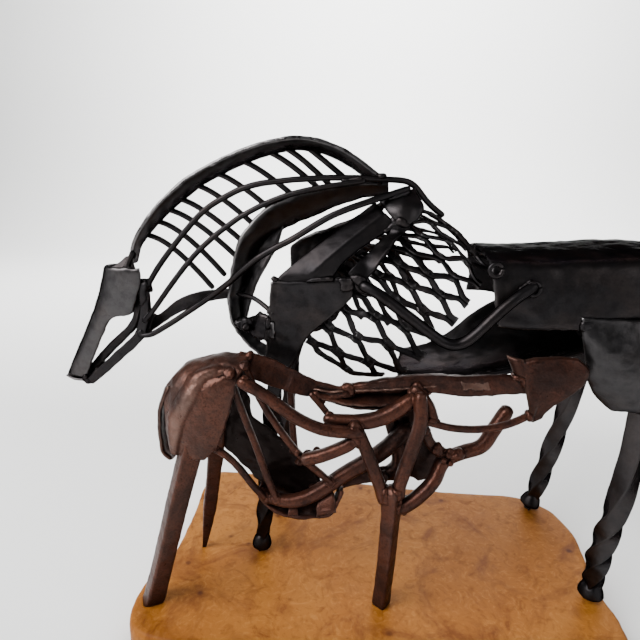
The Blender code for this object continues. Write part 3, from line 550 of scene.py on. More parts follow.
def formedSheet(name, replaced, rows, thick=2.0, dent=0.5, ragged=0.0, spacing=1.4, seed=2.0, sharp=False,
                shape=None):
    grid = fineGrid(rows, spacing, sharp)
    m, n = grid.shape[:2]
    if shape:
        v = np.meshgrid(np.linspace(0, 1, m), np.linspace(0, 1, n), indexing="ij")[0]
        grid = grid + normals(grid) * shape(v, grid)[..., None]
    bumps = roughness(grid.reshape(-1, 3) * mm, sheetWork["bump"], seed).reshape(m, n)
    grid = grid + normals(grid) * (bumps * dent)[..., None]
    if ragged:
        for k, (edge, beside) in enumerate(gridEdges):
            bite = roughness(grid[edge] * mm, sheetWork["bite"], seed + k)[:, None] * ragged
            grid[edge] += unit(grid[beside] - grid[edge]) * bite
            grid[beside] += (grid[edge] - grid[beside]) * sheetWork["drag"]
    # the rim's middle line stands a little proud, so the cut edge is round
    out, onRim = np.zeros_like(grid), np.zeros((m, n))
    for edge, beside in gridEdges:
        out[edge] += unit(grid[edge] - grid[beside])
        onRim[edge] = 1
    half = normals(grid) * (thick / 2 * (1 - sheetWork["thinner"] * onRim))[..., None]
    rim = ([(0, k) for k in range(n)] + [(i, n - 1) for i in range(1, m)]
           + [(m - 1, k) for k in range(n - 2, -1, -1)] + [(i, 0) for i in range(m - 2, 0, -1)])
    verts = list((grid + half).reshape(-1, 3)) + list((grid - half).reshape(-1, 3))
    verts += [grid[place] + out[place] * thick * sheetWork["proud"] for place in rim]
    faces = []
    for i in range(m - 1):
        for k in range(n - 1):
            quad = (i * n + k, (i + 1) * n + k, (i + 1) * n + k + 1, i * n + k + 1)
            faces += [quad, tuple(c + m * n for c in quad[::-1])]
    for j in range(len(rim)):
        a, b = (i * n + k for i, k in (rim[j], rim[(j + 1) % len(rim)]))
        outerA, outerB = 2 * m * n + j, 2 * m * n + (j + 1) % len(rim)
        faces += [(a, b, outerB, outerA), (outerA, outerB, b + m * n, a + m * n)]
    firstRim[name] = 2 * m * n
    return newPiece(name, replaced, placed(np.array(verts)), faces)


# camera, light and floor

view = {"eye": (0.0079, -0.2573, 0.2410), "turn": 7, "down": 15, "lens": 27, "sensor": 36, "nearest": 0.01}
# place, what it points at, size, power
lamps = {"window": ((-1.4, -0.9, 1.3), (0, 0, 0.12), 1.5, 98),
         "fill": ((1.3, -1.1, 0.9), (0, 0, 0.12), 1.3, 12),
         "wall wash": ((0, 0.8, 1.6), (0, 2.4, 1.0), 1.4, 135),
         "back": ((0.5, 1.2, 1.5), (0, 0, 0.1), 1.2, 24)}
room = {"Color": (0.92, 0.95, 1, 1), "Strength": 0.13}
paper = {"Base Color": (0.88, 0.88, 0.87, 1), "Roughness": 0.9}


def camera():
    data = bpy.data.cameras.new("camera")
    data.lens, data.sensor_width, data.clip_start = view["lens"], view["sensor"], view["nearest"]
    eye = linked("camera", data)
    eye.location = view["eye"]
    eye.rotation_euler = (math.radians(90 - view["down"]), 0, math.radians(view["turn"]))
    bpy.context.scene.camera = eye


def lights():
    for name, (place, aim, size, power) in lamps.items():
        data = bpy.data.lights.new(name, "AREA")
        data.size, data.energy = size, power
        lamp = linked(name, data)
        lamp.location = place
        lamp.rotation_euler = (Vector(aim) - Vector(place)).to_track_quat("-Z", "Y").to_euler()
    world = bpy.data.worlds.new("room")
    world.use_nodes = True
    for title, value in room.items():
        world.node_tree.nodes["Background"].inputs[title].default_value = value
    bpy.context.scene.world = world


def backdrop():
    made = bpy.data.materials.new("pale paper")
    made.use_nodes = True
    for title, value in paper.items():
        made.node_tree.nodes["Principled BSDF"].inputs[title].default_value = value
    bend = [(1.4 + 0.9 * math.sin(a), 0.9 - 0.9 * math.cos(a)) for a in np.linspace(0, math.pi / 2, 16)]
    section = [(-3.0, 0)] + bend + [(2.3, 3.5)]
    verts = [(x, y, z) for y, z in section for x in (-4.5, 4.5)]
    mesh = bpy.data.meshes.new("paper sweep")
    mesh.from_pydata(verts, [], [(2 * i, 2 * i + 1, 2 * i + 3, 2 * i + 2) for i in range(len(section) - 1)])
    mesh.shade_smooth()
    mesh.materials.append(made)
    linked("paper_sweep", mesh)


camera()
lights()
backdrop()
print("camera, lights and floor set")


# the slab: mm between points along its side, how far it is drawn in, waves, grain, rings of its top

slab = {"step": 2.0, "drawnIn": 0.45, "wave": (14, 0.5), "grain": 0.35, "rings": 26}


def burlSlab():
    mesh = nodes["burl_slab"].data
    low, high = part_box("burl_slab")
    side = np.array([v.co for v in mesh.vertices if abs(v.co.z - low.z - 4 * mm) < 0.5 * mm])[:, :2]
    side = np.unique(np.round(side, 5), axis=0)
    middle = side.mean(0)
    centre = middle / mm
    ring = side[np.argsort(np.arctan2(*(side - middle).T[::-1]))]
    line = curveThrough(np.concatenate([ring, ring[:1]]) / mm, slab["step"])[:-1]
    waveSize, waveDepth = slab["wave"]
    wobble = roughness(np.c_[line, np.zeros(len(line))] * mm, waveSize, 5.0) * waveDepth
    inward = unit(centre - line)
    line = line + inward * (slab["drawnIn"] + wobble)[:, None]
    top, base = high.z / mm, low.z / mm
    profile = [(0.9, base + 0.0), (0.25, base + 0.7), (0, base + 2), (0, base + 7), (0.1, base + 12),
               (0.3, top - 3.5), (0.9, top - 1.6), (1.7, top - 0.6), (2.8, top - 0.12), (4.2, top)]
    verts = []
    for inset, z in profile:
        for p, d in zip(line, inward):
            grain = noise.noise(Vector((p[0] / 6, p[1] / 6, z / 3))) * slab["grain"]
            verts.append((*(p + d * (inset + (abs(grain) if base + 1 < z < top - 1 else 0))), z))
    last = line + inward * profile[-1][0]
    # the top runs in by rings to its middle
    rings, m = slab["rings"], len(line)
    verts += [(*(p + (centre - p) * (r / rings)), top) for r in range(1, rings) for p in last]
    faces = ringFaces(len(profile) + rings - 1, m)
    end = len(verts) - m
    verts += [(*centre, top), (*centre, base)]
    faces += [(end + k, end + (k + 1) % m, len(verts) - 2) for k in range(m)]
    faces += [((k + 1) % m, k, len(verts) - 1) for k in range(m)]
    newPiece("burl_slab_top", "burl_slab", np.array(verts) * mm, faces)


burlSlab()
print("slab sawn")


# the mare's head and neck

# height, front edge, near rear edge, half width; the cheek hangs in a lobe over the jaw
face = {"sections": [(197, -132, -106.5, 10), (190, -134.2, -106.4, 10), (182, -137, -109, 10),
                     (175, -140, -111.8, 9.8), (171, -141.8, -113.4, 9.4), (168.8, -142.8, -116.5, 9.1),
                     (168, -143.4, -122, 8.9), (166.2, -144.4, -127.5, 8.8), (161.5, -146.8, -132, 8.5),
                     (152, -152, -137.3, 8), (138, -159.8, -145, 7), (126.3, -166.3, -151, 6)],
        "depth": ((126, 152, 162, 171, 197), (11.5, 12.5, 13.5, 16, 17))}


def facePlate():
    rows = []
    for z, front, rear, half in face["sections"]:
        depth = np.interp(z, *face["depth"])
        nose = [(front + depth * (1 - math.cos(a)), -half * math.sin(a), z)
                for a in np.linspace(-math.radians(65), math.pi / 2, 11)]
        cheek = lane(-half, *((x, z) for x in np.linspace(nose[-1][0], max(rear, nose[-1][0] + 1), 6)[1:]))
        rows.append(nose + cheek)
    formedSheet("mare_face", "mare_face_plate", rows, dent=0.2, ragged=0.5, spacing=1.3, seed=3.0)


maneRoute = [(-114, 0, 200), (-110, 0, 211.8), (-95.7, 0, 228.1), (-80.6, 0, 240.3), (-68.7, 0, 248.2),
             (-43.7, 0, 259.1), (-21.8, 0, 264.9), (-6.4, 0, 265.2), (12.1, -2, 259.1), (32.4, -6, 245.4)]
comb = {"radius": 1.65, "dent": 0.12, "bendAt": 0.26,
        "starts": [(-105.5, 214.5), (-98, 222), (-90.5, 228.5), (-83, 234), (-73, 242), (-61.5, 249),
                   (-46, 255), (-31, 260), (-21, 261), (-10, 261)],
        "ends": [(-66, 184), (-58, 192), (-50, 203), (-46, 212), (-37, 220), (-26, 228), (-13, 236),
                 (-2, 243), (5, 244), (13, 248)]}


def maneBar():
    inward = unit(np.array((-45, 0, 190)) - np.array(maneRoute)) * (1, 0, 1)
    lean = spread([0.1, 0.22, 0.3, 0.3, 0.32, 0.36, 0.42], len(maneRoute))
    sweptBar("mare_mane_bar", "mare_mane_comb", maneRoute, np.array((0, 1, 0)) + inward * lean[:, None],
             [5, 12, 15, 16, 16, 16, 16, 15, 14, 12], 2.5, cup=[0.4, 1.2, 1.4, 1.4, 1.2, 0.8], corner=0.2,
             dent=0.3, seed=4.0)
    line = curveThrough(maneRoute, 1.0)
    share = np.linspace(0, 1, 14)[:, None]
    rods = []
    for (x0, z0), (x1, z1) in zip(comb["starts"], comb["ends"]):
        root = np.array(min(line, key=lambda q: math.dist((q[0], q[2]), (x0, z0)))) * (1, 0, 1) + (0, 5, 0)
        bend = np.array((x0 + comb["bendAt"] * math.dist((x0, z0), (x1, z1)), 4.5, z0))
        route = (1 - share) ** 2 * root + 2 * share * (1 - share) * bend + share ** 2 * np.array((x1, 2, z1))
        rods.append(roundLine(route, comb["radius"], 1.2))
    drawnPiece("mare_neck_ribs", "mare_mane_comb", rods, dent=comb["dent"])


def headAndNeck():
    facePlate()
    rows = [[(x, y, z) for y in (-half, 0, half)]
            for x, z, half in ((-167, 124.7, 3), (-160, 123.8, 5.5), (-151, 123.4, 5.5))]
    formedSheet("mare_muzzle", "mare_muzzle_cap", rows, dent=0.3, spacing=1.2)
    near = lane(-7, (-147, 124.5), (-137, 133), (-126.5, 142), (-113.5, 153.5), (-108.3, 163), (-105.8, 175),
                (-106, 189))
    far = lane(2, (-155, 124.5), (-145, 135.5), (-135.3, 145), (-123, 156), (-118, 162.5)) + [
        (-114.5, 1, 171), (-111, 0, 181)]
    sweptBar("mare_jaw_near", "mare_jaw_bar_near", near, [(0, 1, 0)], [4], [5, 5.6, 6, 6, 6, 5.5, 5],
             corner=0.3, dent=0.4, seed=3.0)
    sweptBar("mare_jaw_far", "mare_jaw_bar_far", far, [(0, 1, 0)], [6], [4.5, 5, 5, 4.5, 4], corner=0.3,
             dent=0.4, seed=5.0)
    link = [(-114.5, -7.4, 191), (-114.2, -7, 199), (-112.5, -3.5, 205.5)]
    sweptBar("mare_forehead_bar", "mare_forehead_link", link, [(0, 1, 0.3)], [7, 5.5, 5], 3, dent=0.3)
    rows = [[(-126, -7.5, 196.5), (-119, -8, 196.5), (-110, -8, 196.5)],
            [(-120.5, -6.5, 199.8), (-116.5, -6.8, 200), (-111.5, -6.5, 200)],
            [(-116, -5, 203.4), (-114.5, -5, 203.6), (-112.5, -4.5, 203.4)]]
    formedSheet("mare_brow_gusset", "mare_forehead_link", rows, dent=0.4, spacing=0.9)
    maneBar()
    for which in ("upper", "middle", "lower"):
        rod = f"mare_neck_rod_{which}"
        drawnPiece(f"mare_long_rod_{which}", rod, [rodLine(rod, fat=1.12)], dent=0.15, seed=len(which))
    throat = [(-110, -1.5, 159), (-98, -1, 166), (-87, -1, 173.5), (-76, -1, 178.5), (-64, 0, 181),
              (-45, 0, 183)]
    turning = [(-0.5, 0.3, 1), (-0.5, 0.3, 1), (-0.5, 0, 1), (-0.3, -0.4, 1), (-0.2, -0.8, 1)]
    sweptBar("mare_throat_strip", "mare_throat_bar", throat, turning, [8, 5.5, 7.5, 7, 6.5, 7], 2.2, cup=0.6,
             corner=0.25, dent=0.3)
    chest = [(36, -4, 242.5), (20, -4, 241), (2, -6, 236.5), (-22, -6, 227), (-38, -6, 213), (-45.5, -6, 197),
             (-49.5, -6, 181), (-49, -6, 168), (-43.5, -6, 157.5), (-35, -7, 150), (-27, -7, 146)]
    inward = [(0, 1, -0.7), (0, 1, -0.8), (0.2, 1, -0.8), (0.4, 1, -0.55), (0.5, 1, -0.15), (0.45, 1, 0.1),
              (0.4, 1, 0.2), (0.3, 1, 0.35)]
    sweptBar("mare_chest_hoop", "mare_chest_bar", chest, inward, [9, 15, 22, 23, 21, 15, 12, 9, 8], 2.4,
             cup=[-0.6, -1.6, -1.8, -1.6, -1.2, -0.8], corner=0.22, dent=0.6, seed=6.0)
    # a tapered strip lies along the hoop's inner edge
    rows = [[(-23.5, -1, 222.5), (-22, -1.5, 221.5)], [(-33, -1, 213.5), (-25, -3, 211.5)],
            [(-42, 0, 201), (-31, -4, 200.5)], [(-47.5, -1, 186), (-38.5, -4, 187)],
            [(-50, -2, 170), (-44.8, -4, 167.5)]]
    formedSheet("mare_hoop_lining", "mare_chest_bar", rows, 1.8, spacing=1.2, seed=5.0)


headAndNeck()
print("head and neck welded")


# the mare's shoulder and barrel

def ringLine(middle, size, radius):
    turns = np.linspace(0.3, 0.3 + 2 * math.pi, 30)
    ring = placed([np.array(middle) + (size * math.cos(a), 0, size * math.sin(a)) for a in turns])
    return ring, np.full(len(ring), radius * mm), np.zeros(len(ring))


def shoulder():
    # its front edge is turned out in a narrow flange
    rows = [[(-22.6, -31.6, 194.5), (-20.6, -30.6, 195.6), (-10, -31.2, 195.4), (4, -31.8, 197.4),
             (20, -32.4, 198.2)],
            [(-23.4, -31.6, 185), (-21.2, -30.6, 186), (-9, -31.2, 186), (4, -31.7, 187), (19, -32.2, 188)],
            [(-24.4, -31.4, 174), (-22.2, -30.5, 174.5), (-10, -31.1, 175), (1, -31.6, 176.5),
             (9.5, -31.9, 178)],
            [(-25.6, -31.3, 163), (-23.4, -30.5, 163), (-14, -31, 163.5), (-8, -31.3, 164.5),
             (-3.5, -31.5, 166)],
            [(-27, -31.2, 150.5), (-24.8, -30.5, 149.5), (-20, -30.8, 148.5), (-16.5, -31, 147.6),
             (-14, -31.2, 147)]]
    formedSheet("mare_shoulder_blade", "mare_shoulder_plate_near", rows, 2.3, ragged=0.5, seed=7.0,
                sharp=True)
    rows = [[(-21, -30, 194.6), (-3, -31.4, 195), (9, -31.4, 196)],
            [(-14, -29.4, 201.8), (0, -34, 200.5), (11, -32, 201)],
            [(4, -26, 216), (12, -32.6, 212), (20, -30, 210.5)],
            [(30, -18.5, 235), (35, -25, 230), (41, -24.5, 225)]]
    formedSheet("mare_shoulder_fold", "mare_shoulder_bar_folded", rows, dent=0.15, ragged=0.3, seed=8.0,
                sharp=True)
    rear = [(45, -27, 226), (41, -27.5, 221), (36, -31, 215), (29, -35.2, 207), (21, -36.6, 199)]
    sweptBar("mare_shoulder_strap", "mare_shoulder_bar_rear", rear, [(1, 0.1, 0.7)], [6, 8, 9.5, 9.5, 8], 2.3,
             cup=0.5, corner=0.25, dent=0.4)
    rows = [[(-24, 27, 150), (-6, 28, 152), (6, 28, 160)], [(-25, 28, 172), (-8, 30, 176), (16, 30, 180)],
            [(-22.5, 27.5, 196), (0, 29, 199), (25, 29, 203)],
            [(-18.8, 26, 210.5), (2, 26, 215), (30, 24, 221)],
            [(16, 17, 223), (27, 11, 230.5), (38, 2, 239)]]
    formedSheet("mare_far_shoulder", "mare_shoulder_plate_far", rows, dent=0.8, ragged=0.5, seed=9.0)
    rows = [[(33, -19, 236), (41, -18, 240), (50, -14, 242)],
            [(37, -25, 231), (45, -26, 233), (54, -24, 233)],
            [(42, -26, 225), (46, -28, 225), (51, -26, 227)]]
    formedSheet("mare_withers_cap", "mare_withers_flap", rows, dent=0.6, seed=10.0)
    rows = [[(-47, -16, 168), (-43, -16, 170.5), (-38, -19, 171.5), (-33, -23.5, 175), (-28, -27.5, 177),
             (-22, -32, 173)],
            [(-46, -16, 166), (-43, -16, 167), (-38, -19, 167.5), (-33, -23.5, 169), (-28, -27.5, 170),
             (-22, -32, 169)],
            [(-44.5, -16, 164), (-42, -16, 163.5), (-38, -19, 163), (-33, -23.5, 162.3), (-28, -27.5, 163),
             (-22, -32, 165)]]
    formedSheet("mare_chest_gusset", "mare_chest_web", rows, 2.8, dent=0.9, ragged=1.0, spacing=1.0,
                seed=11.0)
    drawnPiece("mare_small_arc", "mare_chest_rod", [rodLine("mare_chest_rod")], dent=0.15)
    path, radius, turn = rodLine("mare_side_rod")
    keep = path[:, 0] > -1.5 * mm
    drawnPiece("mare_side_hook", "mare_side_rod", [(path[keep], radius[keep], turn[keep]),
                                                   ringLine((25.5, -34.5, 195.3), 2.9, 1.7)], dent=0.25)
    drawnPiece("mare_weld_rings", "mare_side_rod", [ringLine((88.6, -38.3, 204.6), 3.0, 1.2),
                                                    ringLine((106.5, -39.2, 196), 3.0, 1.2)], dent=0.4)


shoulder()

# the expanded metal lies on the barrel by this net: x and the angle round from the top at every
# second strand crossing along it, for rows three crossings apart
ribs = {"net": {-9: [(-3.6, -2.35), (6, -2.45), (16.4, -2.66), (27, -2.95)],
                -6: [(11.5, -1.75), (22.5, -1.95), (34.8, -2.19), (46.8, -2.6)],
                -3: [(23.7, -1.43), (36, -1.6), (47, -1.82), (59.5, -2.12)],
                0: [(37, -1.2), (48.5, -1.36), (59.8, -1.53), (70, -1.72)],
                3: [(49, -1.0), (60.5, -1.12), (70.2, -1.16), (78.6, -1.23)],
                6: [(57, -0.62), (68.1, -0.63), (79.5, -0.58), (88, -0.6)],
                9: [(62, -0.05), (74, -0.03), (86, 0), (96, 0)]},
        "near": {0: (-8, 8), -1: (-9, 9), -2: (-8, 8), -3: (-7, -5)},
        "far": {-1: (-5, 9), -2: (-6, 8), -3: (-5, 5)},
        "wide": 3.3, "thick": 1.5, "bond": 0.2, "rake": math.radians(32)}


def barrel(x, around):
    top = np.interp(x, (-10, 40, 57, 72, 84, 95), (224, 236, 231, 222, 210, 205))
    low = np.interp(x, (-10, 20, 45, 70, 95), (150, 134, 136, 146, 150))
    wide = np.interp(x, (-10, 20, 40, 60, 95), (21, 28, 31, 35, 34.5))
    return np.array((x, wide * math.sin(around), (top + low) / 2 + (top - low) / 2 * math.cos(around)))


# a smooth value from a row of them, at this place counted along the row
def between(row, at):
    k = int(min(max(math.floor(at), 0), len(row) - 2))
    t = at - k
    a, b, c, d = runOut(np.asarray(row, float))[k:k + 4]
    if t < 0:
        return b + (c - a) / 2 * t
    if t > 1:
        return c + (d - b) / 2 * (t - 1)
    return smooth(a, b, c, d, t)


def onNet(i, j, side):
    rows = [between(ribs["net"][row], i + 2) for row in sorted(ribs["net"])]
    x, around = between(rows, (j + 9) / 3)
    return barrel(x, around * side)


# one strand: its points and the way its flat face looks, raked towards the next row
def strand(crossings, side):
    path, out = [], []
    for i, j in crossings:
        here = onNet(i, j, side)
        along, up = onNet(i + 0.05, j, side) - here, onNet(i, j + 0.05, side) - here
        outward = unit(np.cross(along, up))
        outward = outward * np.sign(outward[1] * here[1] + 0.4 * outward[2])
        path.append(here)
        out.append(outward * math.cos(ribs["rake"]) + unit(up) * math.sin(ribs["rake"]))
    return path, out


# the strands run in zigzags that meet at each crossing; cells are the holes that are left
def cageStrands():
    strands, bond = [], ribs["bond"]
    for side, reach in ((1, ribs["near"]), (-1, ribs["far"])):
        cells = {(i, j) for i, (low, high) in reach.items() for j in range(low, high + 1) if (i + j) % 2 == 0}
        for row in range(-11, 11):
            run = []
            for i in range(-5, 3):
                if (i + row) % 2:
                    start, end, beside = row + 0.21, row + 0.79, ((i + 1, row), (i, row + 1))
                else:
                    start, end, beside = row + 0.79, row + 0.21, ((i, row), (i + 1, row + 1))
                if any(cell in cells for cell in beside):
                    run += [(i - bond, start), (i + bond, start), (i + 1 - bond, end), (i + 1 + bond, end)]
                elif run:
                    strands.append(strand(run, side))
                    run = []
            if run:
                strands.append(strand(run, side))
    return strands


# flat strips along lines, each point's face turned the way that is stored with it
def stripTree():
    tree, given = geometryTree("flat strip", {"Wide": 3 * mm, "Thick": 1.5 * mm})
    way = shaped(tree, "InputNamedAttribute", {"Name": "out"}, data_type="FLOAT_VECTOR")
    line = shaped(tree, "MeshToCurve", {"Mesh": given["Geometry"]})
    faced = shaped(tree, "SetCurveNormal", {"Curve": line, "Normal": way}, mode="FREE")
    section = shaped(tree, "CurvePrimitiveQuadrilateral", {"Width": given["Thick"], "Height": given["Wide"]})
    profile = shaped(tree, "FilletCurve", {"Curve": section, "Radius": 0.45 * mm, "Count": 2,
                                           "Limit Radius": True}, mode="POLY")
    skin = shaped(tree, "CurveToMesh", {"Curve": faced, "Profile Curve": profile, "Fill Caps": True})
    return ended(tree, skin, given["Steel"])


def ribCage():
    verts, edges, out = [], [], []
    for path, faces in cageStrands():
        line = curveThrough(np.c_[placed(path) / mm, faces], 1.1)
        way = unit(np.gradient(line[:, :3], axis=0))
        edges += [(len(verts) + k, len(verts) + k + 1) for k in range(len(line) - 1)]
        verts += list(line[:, :3] * mm)
        out += list(unit(line[:, 3:] - way * (line[:, 3:] * way).sum(1, keepdims=True)))
    cage = grown("mare_rib_cage", "mare_rib_mesh", verts, edges, {"out": out}, stripTree(),
                 {"Wide": ribs["wide"] * mm, "Thick": ribs["thick"] * mm})
    dented(cage, 0.35, 24.0, 5.0)


# the back: its section as (y, z) shares, then x, top, half width and slant of each station
back = {"section": [(-1.02, -35), (-1.0, -20), (-0.93, -7), (-0.74, -3), (-0.3, 0), (0.3, 0.5),
                    (0.74, -2.5), (0.93, -8), (1.0, -20), (1.02, -35)],
        "stations": [(89.5, 211.5, 36, 3.5), (102, 211, 37, 1.5), (118, 211.5, 38, 0), (140, 213, 38.5, -2),
                     (160, 214, 37.5, -3), (178, 212, 34, -2), (192, 205, 28, 0), (200, 194, 21, 0)]}
# x, underside, rise to the far side and how far it reaches
belly = ((46, 139, 3, 26), (62, 138, 8, 28), (76, 139, 14, 31), (92, 142, 24, 35), (110, 147, 28, 38.6),
         (130, 154, 22.2, 39.2), (148, 161, 17.3, 39))
# height, front edge, rear edge, how far out and how full; the front edge is rolled in
thigh = {"rows": ((182.6, 130, 184, 40.2, 0.8), (170, 132, 182, 42.2, 3.8), (156, 135, 180, 43, 4.4),
                  (145, 140, 178, 42.2, 3), (137, 149, 174, 41.2, 1)), "roll": 0.4, "rollReach": 0.8}


def hindquarters():
    rows = []
    for x, top, half, slant in back["stations"]:
        fall = 1 if x < 150 else 0.9
        row = [(x + slant * (-drop - 17) / 18, half * y, top + drop * fall) for y, drop in back["section"]]
        row[-1] = (x, half * 1.02, top - fall * np.interp(x, (102, 118), (31, 35)))
        rows.append(row)
    formedSheet("mare_back", "mare_back_sheet", rows, ragged=0.35, spacing=1.8, seed=12.0)
    rows = [[(x, -14, low), (x, 0, low - 1.5), (x + 1, 0.45 * reach, low + 0.1 * rise),
             (x + 2, 0.8 * reach, low + 0.5 * rise), (x + 3, reach, low + rise)]
            for x, low, rise, reach in belly]
    formedSheet("mare_belly", "mare_belly_trough", rows, ragged=0.4, spacing=1.8, seed=13.0)
    drawnPiece("mare_belly_wire", "mare_belly_rod", [rodLine("mare_belly_rod")], dent=0.15)
    for which, side in (("near", -1), ("far", 1)):
        rows = []
        for z, front, rear, out, bulge in thigh["rows"]:
            bends = [1 - (2 * k / 12 - 1) ** 2 - thigh["roll"] * math.exp(-k / thigh["rollReach"])
                     for k in range(13)]
            rows.append([(front + (rear - front) * k / 12, side * (out + bulge * bend), z)
                         for k, bend in enumerate(bends)])
        formedSheet(f"mare_thigh_{which}", f"mare_thigh_plate_{which}", rows, ragged=0.35, seed=14.0 + side)


ribCage()
hindquarters()
print("barrel and hindquarters formed")

# side of the bar, quarter turns along it, radius of the ball foot
legs = {"mare_hind_leg_near": {"side": 9.5, "turns": [0.3, 0.3, 0.3, 0.45, 0.95, 2, 3.3, 4.5], "hoof": 6.6},
        "mare_hind_leg_far": {"side": 9.5, "turns": [0.1, 0.15, 0.5, 1.3, 2.3, 3.3], "hoof": 6.6},
        "mare_fore_leg_near": {"side": 8, "turns": [0, 0.3, 1, 2, 3.2, 4.4, 5.6], "hoof": 6.0},
        "mare_fore_leg_far": {"side": 8, "turns": [0, 0.6, 1.6, 2.6, 3.8, 5], "hoof": 6.0}}
ballTall = 14


# a twisted square bar, thinned above the foot, and the ball that it is upset into
def mareLeg(name, look):
    path = rodLine(name, spacing=0.9, runOn=(0, 0))[0]
    if path[0, 2] < path[-1, 2]:
        path = path[::-1]
    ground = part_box("burl_slab")[1].z
    path[-1, 2] = ground + 1.5 * mm
    path = curveThrough(path, 0.9 * mm)
    height = (path[:, 2] - ground) / mm
    radii = look["side"] / 2 * np.interp(height, (0, 6, 15, 24), (0.62, 0.66, 0.9, 1))
    turn = spread(look["turns"], len(path)) * math.pi / 2
    drawnPiece(name.replace("_leg", "_limb"), name, [(path, radii * mm, turn)], corner=0.2, dent=0.3,
               seed=len(name))
    tall = np.linspace(ballTall, 0.1, 22)
    lean = path[np.argmin(abs(height - ballTall))] - path[-1]
    line = (path[-1] * (1, 1, 0) + (0, 0, ground) + np.outer(tall / ballTall, lean * (1, 1, 0))
            + np.outer(tall * mm, (0, 0, 1)))
    ball = look["hoof"] * np.interp(tall, (0, 1.2, 3, 5.5, 8, 11, 14), (0.62, 0.86, 0.98, 1, 0.9, 0.72, 0.6))
    drawnPiece(name.replace("_leg", "_hoof"), name, [(line, ball * mm, np.zeros(len(line)))], dent=0.8,
               seed=len(name) + 1)


for name, look in legs.items():
    mareLeg(name, look)
tail = [roundLine([(202.2, y, 197.5), (208.5, y * 1.2, 190), (214, y * 1.6, 170), (214, y * 2, 142), end],
                  [2.6, 2.6, 2.3, 1.8, 1.0], 1.2)
        for y, end in ((-2.2, (211, -9, 96)), (2.2, (209, 8, 104)), (0, (216, 1, 84)))]
drawnPiece("mare_tail_rods", "mare_tail", tail, dent=0.25)
print("mare stands")


# the foal: the haunch's broad fold, with its crease and its width at these heights, and the pleats
# that gather at the knob, each with its angle, width and depth

haunchFold = {"z": (108, 114, 120, 130, 141, 152, 158), "band": (2, 3, 4.5, 7.5, 6, 5, 3.2),
              "crease": (-68.5, -66.7, -64.8, -61.5, -55.5, -50.3, -40),
              "under": 0.9, "underReach": 3.0, "over": 1.3, "overReach": 2.5, "step": 0.45,
              "starts": (0.16, 0.12)}
pleats = {"knob": (-33, 156),
          "gathers": ((-14, 5, 0.9), (-4, 4, -0.8), (7, 5, 1.1), (18, 4, -0.9), (30, 6, 0.7)),
          "full": 8, "fade": 24}


# how far behind the fold's crease a place is, and how broad the fold is there
def pastFold(x, z):
    return [x - np.interp(z, haunchFold["z"], haunchFold["crease"]),
            np.interp(z, haunchFold["z"], haunchFold["band"])]


# behind the fold the sheet drops into the gap by the tail lip.
# the sheet's normals face inward here, so what stands out is taken off
def haunchShape(v, grid):
    x, z = grid[..., 0], grid[..., 2]
    past, band = pastFold(x, z)
    side = np.clip((v - haunchFold["starts"][0]) / haunchFold["starts"][1], 0, 1)
    under = -haunchFold["under"] * np.exp(-np.maximum(past, 0) / haunchFold["underReach"])
    over = haunchFold["over"] * np.clip(1 + (np.minimum(past, 0) + band) / haunchFold["overReach"], -0.8, 1)
    step = 1 / (1 + np.exp(-past / haunchFold["step"]))
    dx, dz = pleats["knob"][0] - x, z - pleats["knob"][1]
    angle, reach = np.degrees(np.arctan2(-dz, dx)), np.hypot(dx, dz)
    gathers = np.zeros_like(v)
    for at, width, depth in pleats["gathers"]:
        gathers += depth * np.exp(-((angle - at) / width) ** 2) * np.clip(reach / pleats["full"], 0, 1)
    return -(under * step + over * (1 - step)) * side - gathers * np.exp(-reach / pleats["fade"])


